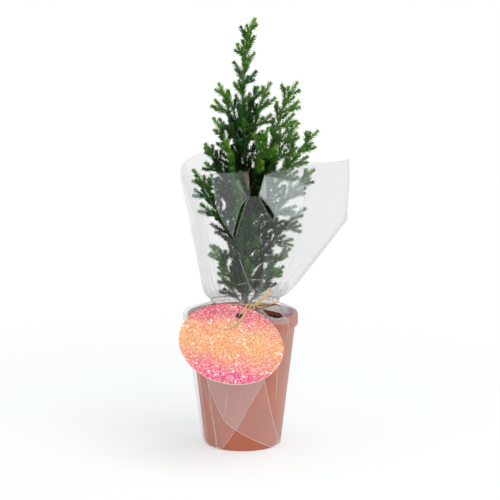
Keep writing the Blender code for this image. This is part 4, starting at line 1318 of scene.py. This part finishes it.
RIM_RIGHT = curve((16.5, 103.4), (19.6, 103.9), (25.5, 102.7), (30.8, 103), (34.8, 100.6))
RIM_RIGHT += curve((34, 97.6), (26.2, 98.2), (18.7, 100.2))
SIGHT_FALL = (eye.z - aim.z) / (aim.y - eye.y)
overlay(skirt, "film_flap_left", LEFT_CORNER, flap_film, 0.5 * MM, (RIGHT_CORNER, "DIFFERENCE"))
overlay(skirt, "film_flap_right", RIGHT_CORNER, flap_film, 0.5 * MM, (LEFT_CORNER, "DIFFERENCE"))
overlay(skirt, "film_flaps_crossed", LEFT_CORNER, crossed_film, 0.7 * MM, (RIGHT_CORNER, "INTERSECT"))
overlay(skirt, "film_rim_left", RIM_LEFT, lobe_film, 0.4 * MM)
overlay(skirt, "film_rim_right", RIM_RIGHT, rim_film, 0.4 * MM)
crease_lines(
    "film_skirt_creases",
    [
        (on_front(skirt, LEFT_CORNER, 0.9 * MM), 0.22 * MM),
        (on_front(skirt, RIGHT_CORNER, 1.5 * MM), 0.3 * MM),
        (on_front(skirt, OPENING, 0.2 * MM, SIGHT_FALL), 0.3 * MM),
        (on_front(skirt, curve((-10.2, 50.6), (-13.5, 28.2)), 1.5 * MM), 0.18 * MM),
        (on_front(skirt, curve((0.2, 53.3), (-2.5, 40.7)), 1.5 * MM), 0.18 * MM),
        (on_front(skirt, curve((-29.8, 54.3), (-26.8, 42.4), (-21, 16.5), (-19.2, 1.5)), 0.2 * MM), 0.2 * MM),
        (on_front(skirt, curve((30.8, 103.2), (34.6, 94), (31.7, 83), (26.2, 63), (25, 40)), 0.2 * MM), 0.25 * MM),
        (on_front(skirt, curve((23, 107.9), (33.5, 103.4)), 0.2 * MM), 0.25 * MM),
        (on_front(skirt, curve((17, 108), (20, 106.8), (26, 105)), 0.2 * MM), 0.25 * MM),
        (on_front(skirt, curve((-22, 107.7), (-31, 104)), 0.2 * MM), 0.25 * MM),
        (on_front(skirt, curve((-24.5, 107), (-38, 103)), 0.2 * MM), 0.3 * MM),
        (on_front(skirt, curve((-28.6, 4), (-25, 1.7), (-18.7, 1.3)), 0.4 * MM), 0.35 * MM),
        (on_front(skirt, curve((21.4, 1.5), (25.5, 2.4), (28.4, 6)), 0.4 * MM), 0.35 * MM),
    ],
)
for corners in (LEFT_CORNER, RIGHT_CORNER, BARE_FRONT):
    shape_front(skirt, corners, "DIFFERENCE")
shape_front(skirt, OPENING, "DIFFERENCE", SIGHT_FALL)
placed(skirt, "clear_film", "film_skirt")

# Film above the tie: the same sheet, open like a bag round the plant. Its right side is folded flat into a wing,
# and its front edges part in a notch, with a slit down each side of the middle tongue and a gap on the left.
MOUTH_HEIGHT = 215 * MM
MOUTH_BACK_RISE = 2.5 * MM
MOUTH_RIGHT_RISE = 3.6 * MM
BACK_LEFT_RISE = 7 * MM
BACK_RIGHT_DIP = 5 * MM
LEFT_DIP = 4.5 * MM
FOLDS = (
    ((28, 114), (50, 216), 1.1, 2.5),
    ((34, 118), (70, 214), 1.2, 2.2),
    ((-21, 112), (-31, 212), 1, 2.4),
    ((8, 112), (34, 214), 1, 2.2),
)


def mouth_height(turn):
    """The bag's open edge: highest at the back on the left, lowest at the back on the right."""
    back, right = math.sin(turn), math.cos(turn)
    edge = MOUTH_HEIGHT + MOUTH_BACK_RISE * back + MOUTH_RIGHT_RISE * right
    corner = BACK_RIGHT_DIP if right > 0 else BACK_LEFT_RISE
    return edge - corner * 2 * right * max(0, back) - LEFT_DIP * max(0, -right) ** 3


def bag_place(turn, share):
    """The bag's face at a turn and a share of its height, with its pleats and folds."""
    foot = BAG_ROWS[0][0] * MM
    height = foot + (mouth_height(turn) - foot) * share
    left, right, _ = bag_reach(height)
    left -= 1.4 * MM * smooth_step(158 * MM, 178 * MM, height) * smooth_step(212 * MM, 198 * MM, height)
    across = math.cos(turn) * (right if math.cos(turn) > 0 else left)
    side = math.copysign(bag_depth_at(across, height), math.sin(turn))
    gather = math.exp(-max(0, height - 112 * MM) / (11 * MM))
    opened = smooth_step(114 * MM, 165 * MM, height)
    pinned = smooth_step(110 * MM, 116 * MM, height)
    push = gather * (pleats(turn, 17, 0.9) - 0.7) * 1.6 * MM * (0.35 + 0.65 * pinned)
    push += opened * 1.3 * MM * math.sin(4 * turn + 40 * height)
    push += opened * 0.4 * MM * math.sin(9 * turn - 55 * height + 1)
    if math.sin(turn) < 0:
        for (low_x, low_z), (high_x, high_z), rise, width in FOLDS:
            level = (height / MM - low_z) / (high_z - low_z)
            off = across / MM - (low_x + (high_x - low_x) * level)
            push += rise * MM * math.exp(-abs(off) / width) * pinned
    flat_edge = min(1, abs(side) / (6 * MM))
    direction = Vector((across * 0.3, math.copysign(max(abs(side), 1e-6), math.sin(turn)), 0)).normalized()
    return Vector((across, side, height)) + direction * push * flat_edge


bag = rolled("film_wrap_bag", 260, 100, bag_place, bag_film)
thickened(bag)
SLIT_LEFT = curve((3.1, 192.9), (-0.9, 188.1), (-3.2, 182.1), (-5.2, 174.4), (-7.2, 164.5))
SLIT_LEFT_INNER = curve((4.8, 193.8), (2.1, 188.8), (0.2, 182.1), (-2.2, 174.4), (-5.1, 164.5))
SLIT_RIGHT = curve((11.9, 193.9), (12.9, 192.1), (15.6, 186.4), (18.7, 180.3), (22.3, 175.3))
SLIT_RIGHT_OUTER = curve((12.1, 194.9), (16.4, 190.1), (20.4, 184.5), (24.6, 177.4))
NOTCH_LEFT = curve((4.2, 211.6), (5.1, 203.9), (5.4, 194))
NOTCH_RIGHT = curve((16, 209.4), (11.9, 195.1))
GAP_LEFT = curve((-36.4, 211.5), (-32.1, 190.1), (-26.9, 180.7), (-16.6, 167.9), (-6.3, 161.4))
GAP_RIGHT = curve((-23.7, 212.4), (-21.6, 198.4), (-18, 181.4), (-7.8, 164.4))
ABOVE = 230
WINDOWS = (
    curve((-36.4, ABOVE), (-36.4, 213)) + GAP_LEFT + GAP_RIGHT[::-1] + curve((-23.7, 213), (-23.7, ABOVE)),
    curve((4.2, ABOVE), (4.2, 213)) + NOTCH_LEFT + curve((5.7, 193.8), (11.5, 193.8)) + SLIT_RIGHT
    + SLIT_RIGHT_OUTER[::-1] + NOTCH_RIGHT[::-1] + curve((16.4, 209.6), (20.3, 210.7), (27.4, 211.8), (36.3, 213.1))
    + curve((38, 214.2), (38, ABOVE)),
    SLIT_LEFT + SLIT_LEFT_INNER[::-1],
)
LEFT_VEIL = curve((-54, 228), (-36.6, 228), (-36.6, 213)) + GAP_LEFT[:-6] + curve((-14, 158), (-24, 140), (-42, 140), (-54, 190))
PETAL_LEFT = curve((-23.4, 211.6), (-6.2, 211.6)) + curve((-5.8, 207.4), (3.2, 194.4), (2.9, 193))
PETAL_LEFT += SLIT_LEFT[2:] + curve((-8, 164.8), (-17.3, 181), (-21.2, 198.5), (-23.3, 211))
PETAL_RIGHT = curve((16.3, 209), (30.7, 205.6), (44.6, 202.1)) + curve((45.5, 189.3), (43.3, 178.9), (35.1, 177.1))
PETAL_RIGHT += curve((27.2, 176.5), (25, 177.8), (20.8, 184.9), (16.8, 190.5), (12.3, 195.2))
FACET = curve((16.2, 208.8), (12.4, 195.2)) + curve((13, 194.6), (16.4, 191.4)) + curve((17.1, 194), (16.8, 203))
TOP_BAND = curve((16.5, 209.2), (20.3, 210.4), (27.4, 211.5), (36.3, 212.8), (44.6, 214.6)) + curve((44.6, 202.6), (44, 202.6))
TOP_BAND += curve((30.7, 206), (16.8, 209))
SIDE_VEIL = curve((30.4, 205), (42.3, 214), (49, 214.4)) + curve((49.9, 196.6), (47.3, 164.8), (40.8, 141.5))
SIDE_VEIL += curve((31, 137.5), (27.7, 159.9), (35.1, 176.4))
OVER_BARK = curve((0.9, 211.4), (4, 211.2)) + curve((4.9, 203.9), (4.4, 198.8)) + curve((2.9, 201.8), (1.5, 207.7))
LOW_PLANE = curve((24.6, 124.8), (32.2, 126.5), (34.4, 121.6), (31.3, 115.9)) + curve((23, 112), (19.1, 114.9))
WING_HEM = curve((90, 172), (77.2, 177), (74.6, 171), (57.6, 149), (38, 124)) + curve((40, 118), (60, 130), (90, 160))
overlay(bag, "film_fold_left", PETAL_LEFT, soft_haze_film, 0.8 * MM)
overlay(bag, "film_fold_far_left", LEFT_VEIL, left_film, 0.3 * MM)
overlay(bag, "film_fold_right", PETAL_RIGHT, haze_film, 0.8 * MM)
overlay(bag, "film_fold_facet", FACET, haze_film, 1.3 * MM)
overlay(bag, "film_fold_top", TOP_BAND, side_film, 0.5 * MM)
overlay(bag, "film_fold_side", SIDE_VEIL, side_film, 1.3 * MM)
overlay(bag, "film_fold_notch", OVER_BARK, tan_film, 0.8 * MM)
overlay(bag, "film_fold_low", LOW_PLANE, bag_film, 0.8 * MM)
overlay(bag, "film_fold_hem", WING_HEM, soft_haze_film, 0.5 * MM)
crease_lines(
    "film_bag_creases",
    [
        (on_front(bag, NOTCH_RIGHT, 0.9 * MM), 0.25 * MM),
        (on_front(bag, SLIT_RIGHT_OUTER, 0.9 * MM), 0.3 * MM),
        (on_front(bag, SLIT_LEFT, 0.9 * MM), 0.2 * MM),
        (on_front(bag, SLIT_LEFT_INNER, 0.2 * MM), 0.16 * MM),
        (on_front(bag, SLIT_RIGHT, 0.2 * MM), 0.16 * MM),
        (on_front(bag, curve((-5.8, 207.4), (3.2, 194.4)), 0.9 * MM), 0.2 * MM),
        (on_front(bag, curve((-2.2, 146.6), (3.3, 131.1), (9.9, 112)), 0.2 * MM), 0.25 * MM),
        (on_front(bag, curve((-27, 170), (-20.7, 134.3)), 0.2 * MM), 0.16 * MM),
        (on_front(bag, curve((-4.9, 126.8), (3.3, 128.2)), 0.2 * MM), 0.22 * MM),
        (on_front(bag, curve((-25.6, 121.6), (-18, 115.3)), 0.2 * MM), 0.22 * MM),
        (on_front(bag, curve((6.2, 130.7), (16.3, 129.8)), 0.2 * MM), 0.25 * MM),
        (on_front(bag, curve((77.2, 177), (74.6, 171), (57.6, 149), (38, 124)), 0.6 * MM), 0.2 * MM),
    ],
)
for corners in (*WINDOWS, LEFT_VEIL, PETAL_LEFT, PETAL_RIGHT):
    shape_front(bag, corners, "DIFFERENCE")
placed(bag, "clear_film", "film_bag")

# Tag: a round card with a speckled print that shades from pink to orange and back to pink. It leans on the rim,
# and its hole has a dark metal eyelet.
TAG_CENTRE = Vector((-8.2, -63.6, 90.5)) * MM
TAG_NORMAL = Vector((0.152, -0.59, 0.793)).normalized()
TAG_RADIUS = 38.3 * MM
TAG_THICKNESS = 0.6 * MM
TAG_HOLE = Vector((11.1, 25.8, 0)) * MM
TAG_HOLE_RADIUS = 1.9 * MM
level_way = UP.cross(TAG_NORMAL).normalized()
TAG_PLACE = Matrix.Translation(TAG_CENTRE) @ Matrix(
    (level_way, TAG_NORMAL.cross(level_way), TAG_NORMAL)
).transposed().to_4x4()


def card_print():
    """Glitter print: fine speckles in bands of pink and orange, with scattered sparkles of white."""
    made, nodes, links, shader = finish("printed card", (0.9, 0.4, 0.25), 0.38)
    where = nodes.new("ShaderNodeUVMap")
    where.uv_map = "card"
    apart = nodes.new("ShaderNodeSeparateXYZ")
    drift = nodes.new("ShaderNodeTexNoise")
    drift.inputs["Scale"].default_value = 5
    drift.inputs["Detail"].default_value = 3
    tilt = nodes.new("ShaderNodeMath")
    tilt.operation = "MULTIPLY_ADD"
    tilt.inputs[1].default_value = 0.25
    height = nodes.new("ShaderNodeMath")
    height.operation = "MULTIPLY_ADD"
    height.inputs[1].default_value = 0.43
    level = nodes.new("ShaderNodeMapRange")
    level.inputs["From Max"].default_value = 1.43
    bands = nodes.new("ShaderNodeValToRGB")
    stops = bands.color_ramp.elements
    stops[0].position = 0.28
    stops[0].color = (0.74, 0.07, 0.25, 1)
    stops[1].position = 0.86
    stops[1].color = (0.68, 0.09, 0.18, 1)
    for place, colour in (
        (0.36, (0.8, 0.16, 0.2)), (0.43, (0.82, 0.27, 0.15)), (0.53, (0.85, 0.37, 0.12)), (0.65, (0.86, 0.42, 0.13)),
        (0.75, (0.82, 0.31, 0.14)), (0.81, (0.74, 0.15, 0.19)),
    ):
        stops.new(place).color = (*colour, 1)
    speckle = nodes.new("ShaderNodeTexVoronoi")
    speckle.inputs["Scale"].default_value = 95
    shades = nodes.new("ShaderNodeSeparateColor")
    lighter = nodes.new("ShaderNodeMapRange")
    lighter.inputs["From Min"].default_value = 0.5
    lighter.inputs["To Max"].default_value = 0.85
    pale = nodes.new("ShaderNodeMix")
    pale.data_type = "RGBA"
    pale.inputs["B"].default_value = (0.97, 0.76, 0.64, 1)
    deeper = nodes.new("ShaderNodeMapRange")
    deeper.inputs["From Min"].default_value = 0.6
    deeper.inputs["To Max"].default_value = 0.7
    deep = nodes.new("ShaderNodeMix")
    deep.data_type = "RGBA"
    deep.inputs["B"].default_value = (0.62, 0.07, 0.09, 1)
    sparks = nodes.new("ShaderNodeTexVoronoi")
    sparks.inputs["Scale"].default_value = 22
    spark_size = nodes.new("ShaderNodeMapRange")
    spark_size.inputs["From Min"].default_value = 0.3
    spark_size.inputs["From Max"].default_value = 0.17
    spark_pick = nodes.new("ShaderNodeSeparateColor")
    spark_some = nodes.new("ShaderNodeMath")
    spark_some.operation = "GREATER_THAN"
    spark_some.inputs[1].default_value = 0.6
    spark = nodes.new("ShaderNodeMath")
    spark.operation = "MULTIPLY"
    white = nodes.new("ShaderNodeMix")
    white.data_type = "RGBA"
    white.inputs["B"].default_value = (1, 0.95, 0.9, 1)
    for texture in (drift, speckle, sparks):
        links.new(where.outputs["UV"], texture.inputs["Vector"])
    links.new(where.outputs["UV"], apart.inputs["Vector"])
    links.new(drift.outputs["Fac"], height.inputs[0])
    links.new(apart.outputs["X"], tilt.inputs[0])
    links.new(apart.outputs["Y"], tilt.inputs[2])
    links.new(tilt.outputs["Value"], height.inputs[2])
    links.new(height.outputs["Value"], level.inputs["Value"])
    links.new(level.outputs["Result"], bands.inputs["Fac"])
    links.new(speckle.outputs["Color"], shades.inputs["Color"])
    links.new(shades.outputs["Red"], lighter.inputs["Value"])
    links.new(shades.outputs["Green"], deeper.inputs["Value"])
    links.new(bands.outputs["Color"], pale.inputs["A"])
    links.new(lighter.outputs["Result"], pale.inputs["Factor"])
    links.new(pale.outputs["Result"], deep.inputs["A"])
    links.new(deeper.outputs["Result"], deep.inputs["Factor"])
    links.new(sparks.outputs["Distance"], spark_size.inputs["Value"])
    links.new(sparks.outputs["Color"], spark_pick.inputs["Color"])
    links.new(spark_pick.outputs["Red"], spark_some.inputs[0])
    links.new(spark_size.outputs["Result"], spark.inputs[0])
    links.new(spark_some.outputs["Value"], spark.inputs[1])
    links.new(deep.outputs["Result"], white.inputs["A"])
    links.new(spark.outputs["Value"], white.inputs["Factor"])
    links.new(white.outputs["Result"], shader.inputs["Base Color"])
    return made


bpy.ops.object.select_all(action="DESELECT")
bpy.ops.mesh.primitive_cylinder_add(vertices=160, radius=TAG_RADIUS, depth=TAG_THICKNESS)
card = named("round_card", card_print())
bpy.ops.mesh.primitive_cylinder_add(vertices=48, radius=TAG_HOLE_RADIUS, depth=10 * TAG_THICKNESS, location=TAG_HOLE)
punch = bpy.context.object
cut = card.modifiers.new("hole", "BOOLEAN")
cut.operation = "DIFFERENCE"
cut.object = punch
bpy.context.view_layer.objects.active = card
bpy.ops.object.modifier_apply(modifier="hole")
bpy.data.objects.remove(punch)
bevelled(card, 0.12 * MM, 2, 40)
card.data.materials.append(grained("paper edge", (0.9, 0.76, 0.66), (0.8, 0.6, 0.5), 0.8, 120, 900, 0.00003))
for face in card.data.polygons:
    face.material_index = int(abs(face.normal.z) < 0.9)
while card.data.uv_layers:
    card.data.uv_layers.remove(card.data.uv_layers[0])
card_uv = card.data.uv_layers.new(name="card")
for loop in card.data.loops:
    spot = card.data.vertices[loop.vertex_index].co
    card_uv.data[loop.index].uv = (spot.x / TAG_RADIUS / 2 + 0.5, spot.y / TAG_RADIUS / 2 + 0.5)
card.data.transform(TAG_PLACE)
placed(card, "printed_card", "tag")

eyelet_metal = grained("eyelet metal", (0.1, 0.12, 0.11), (0.05, 0.06, 0.055), 0.35, 600, 2500, 0.00002)
eyelet_metal.node_tree.nodes["Principled BSDF"].inputs["Metallic"].default_value = 0.9
bpy.ops.object.select_all(action="DESELECT")
bpy.ops.mesh.primitive_torus_add(major_radius=2 * MM, minor_radius=0.5 * MM, major_segments=48, minor_segments=14)
ring = named("eyelet_ring", eyelet_metal)
for vert in ring.data.vertices:
    vert.co.z *= 1.6
    vert.co += TAG_HOLE
ring.data.transform(TAG_PLACE)
bpy.ops.object.shade_smooth()
placed(ring, "dark_metal", "eyelet")

# Raffia: flat strips of dried palm leaf, pale straw, tied round the waist in one knot. A strand carries the tag.
RAFFIA_RADIUS = 0.8 * MM
BAND_HEIGHT = 110.6 * MM
KNOT_CENTRE = Vector((7.2, -24.6, 109.7)) * MM
LONG_END = ((9.2, -26.3, 111.1), (13.4, -27.5, 115.2), (17.7, -29, 119.7), (21.9, -30, 124.5))
SHORT_END = ((9.9, -24.9, 110), (14.6, -25.8, 110.4), (20, -27, 112), (25, -28, 114.9))
TIE_FROM_KNOT = Vector((-2.2, -2.2, 0.9)) * MM
TIE_OVER_CARD = ((8.2, 9.3, 1.4), (6, 6.2, 2.6), (2.9, 2.4, 2.8), (0.5, 0.4, 2), (0, 0, 0.8), (0, 0, -1.6))
TAIL_FROM_KNOT = Vector((-0.6, -2.9, -0.3)) * MM
TAIL_OVER_CARD = (
    (10.3, 7.8, 1.6), (8.2, 5, 2.4), (5, 1.3, 2.4), (0.4, -4.5, 1.5), (-6.6, -10.4, 1.2), (-13.3, -13.3, 1.2)
)
SPLIT_TAIL = ((0.5, -4.2, 1.2), (-2.9, -9.4, 1.2), (-5.8, -13, 1.2))


def raffia_material():
    """Straw with fibres that run along the strip."""
    made, nodes, links, shader = finish("raffia", (0.72, 0.5, 0.24), 0.62)
    where = nodes.new("ShaderNodeUVMap")
    where.uv_map = "strip"
    stretch = nodes.new("ShaderNodeMapping")
    stretch.inputs["Scale"].default_value = (26, 1.5, 1)
    fibres = nodes.new("ShaderNodeTexNoise")
    fibres.inputs["Scale"].default_value = 1
    fibres.inputs["Detail"].default_value = 3
    ramp = nodes.new("ShaderNodeValToRGB")
    ramp.color_ramp.elements[0].position = 0.3
    ramp.color_ramp.elements[0].color = (0.42, 0.26, 0.1, 1)
    ramp.color_ramp.elements[1].position = 0.66
    ramp.color_ramp.elements[1].color = (0.86, 0.64, 0.34, 1)
    bump = nodes.new("ShaderNodeBump")
    bump.inputs["Distance"].default_value = 0.0002
    links.new(where.outputs["UV"], stretch.inputs["Vector"])
    links.new(stretch.outputs["Vector"], fibres.inputs["Vector"])
    links.new(fibres.outputs["Fac"], ramp.inputs["Fac"])
    links.new(ramp.outputs["Color"], shader.inputs["Base Color"])
    links.new(fibres.outputs["Fac"], bump.inputs["Height"])
    links.new(bump.outputs["Normal"], shader.inputs["Normal"])
    return made


raffia = raffia_material()


def strip(name, line, width, thick, twist, node, closed=False):
    """A strip of raffia along a line: flat, ribbed lengthwise, and slowly twisting. Its ends draw in to a point."""
    line = evenly(line, 0.5 * MM)
    frames = carried_frames(line)
    last = len(line) - 1

    def place(turn, share):
        i = min(round(share * last), last)
        ahead, side, across = frames[i]
        roll = twist * share * math.tau
        wide_way = side * math.cos(roll) + across * math.sin(roll)
        thin_way = ahead.cross(wide_way)
        ribs = 1 + 0.09 * math.cos(9 * turn) + 0.05 * noise.noise(Vector((turn, share * 9, width * 900)))
        draw_in = 1 if closed else min(1, (i / 2) ** 0.5, ((last - i) / 2) ** 0.5)
        spread = wide_way * math.cos(turn) * width / 2 + thin_way * math.sin(turn) * thick / 2
        return line[i] + spread * ribs * draw_in

    piece = rolled(name, 36, last, place, raffia)
    strip_uv = piece.data.uv_layers[0]
    strip_uv.name = "strip"
    for loop in piece.data.loops:
        u, v = strip_uv.data[loop.index].uv
        strip_uv.data[loop.index].uv = (u, v * last * 0.5 * MM / width)
    if node:
        placed(piece, "raffia", node)
    else:
        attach(piece, "root")


band_reach = WAIST_SIDE + 0.3 * MM
band_depth = WAIST_DEPTH + 0.8 * MM
around_waist = []
for i in range(97):
    turn = math.tau * i / 96
    wobble = 0.35 * math.sin(3 * turn) + 0.2 * math.sin(7 * turn + 1)
    around_waist.append(
        Vector((WAIST_CENTRE + band_reach * math.cos(turn), band_depth * math.sin(turn), BAND_HEIGHT + wobble * MM))
    )
strip("raffia_tie", around_waist, 0.75 * MM, 0.55 * MM, 3, "raffia_band", closed=True)
strip("raffia_long_end", smooth_line([Vector(p) * MM for p in LONG_END]), 2.3 * MM, 0.6 * MM, 0.15, "raffia_end_long")
strip("raffia_short_end", smooth_line([Vector(p) * MM for p in SHORT_END]), 1.2 * MM, 0.5 * MM, 0.6, "raffia_end_short")


def over_hole(across, up, lift):
    """A point over the card, in millimetres from the middle of its hole along the card's own axes."""
    return TAG_PLACE @ (TAG_HOLE + Vector((across, up, TAG_THICKNESS / MM / 2 + lift)) * MM)


tie = [KNOT_CENTRE + TIE_FROM_KNOT] + [over_hole(*place) for place in TIE_OVER_CARD]
strip("raffia_tag_strand", smooth_line(tie), 1.2 * MM, 0.6 * MM, 0.5, "raffia_tag_tie")
tail = [KNOT_CENTRE + TAIL_FROM_KNOT] + [over_hole(*place) for place in TAIL_OVER_CARD]
strip("raffia_strand_tail", smooth_line(tail), 1.4 * MM, 0.5 * MM, 0.3, "raffia_tag_tail")
strip("raffia_split_tail", smooth_line([over_hole(*place) for place in SPLIT_TAIL]), 1.1 * MM, 0.45 * MM, 0.2, None)

knot_line = []
for i in range(60):
    turn = math.tau * i / 40
    loop = Vector((1.5 * math.cos(turn), 0.9 * math.sin(turn * 2), 1.3 * math.sin(turn))) * MM
    knot_line.append(KNOT_CENTRE + loop)
strip("raffia_tie_knot", knot_line, 1.7 * MM, 0.8 * MM, 1, "raffia_knot")
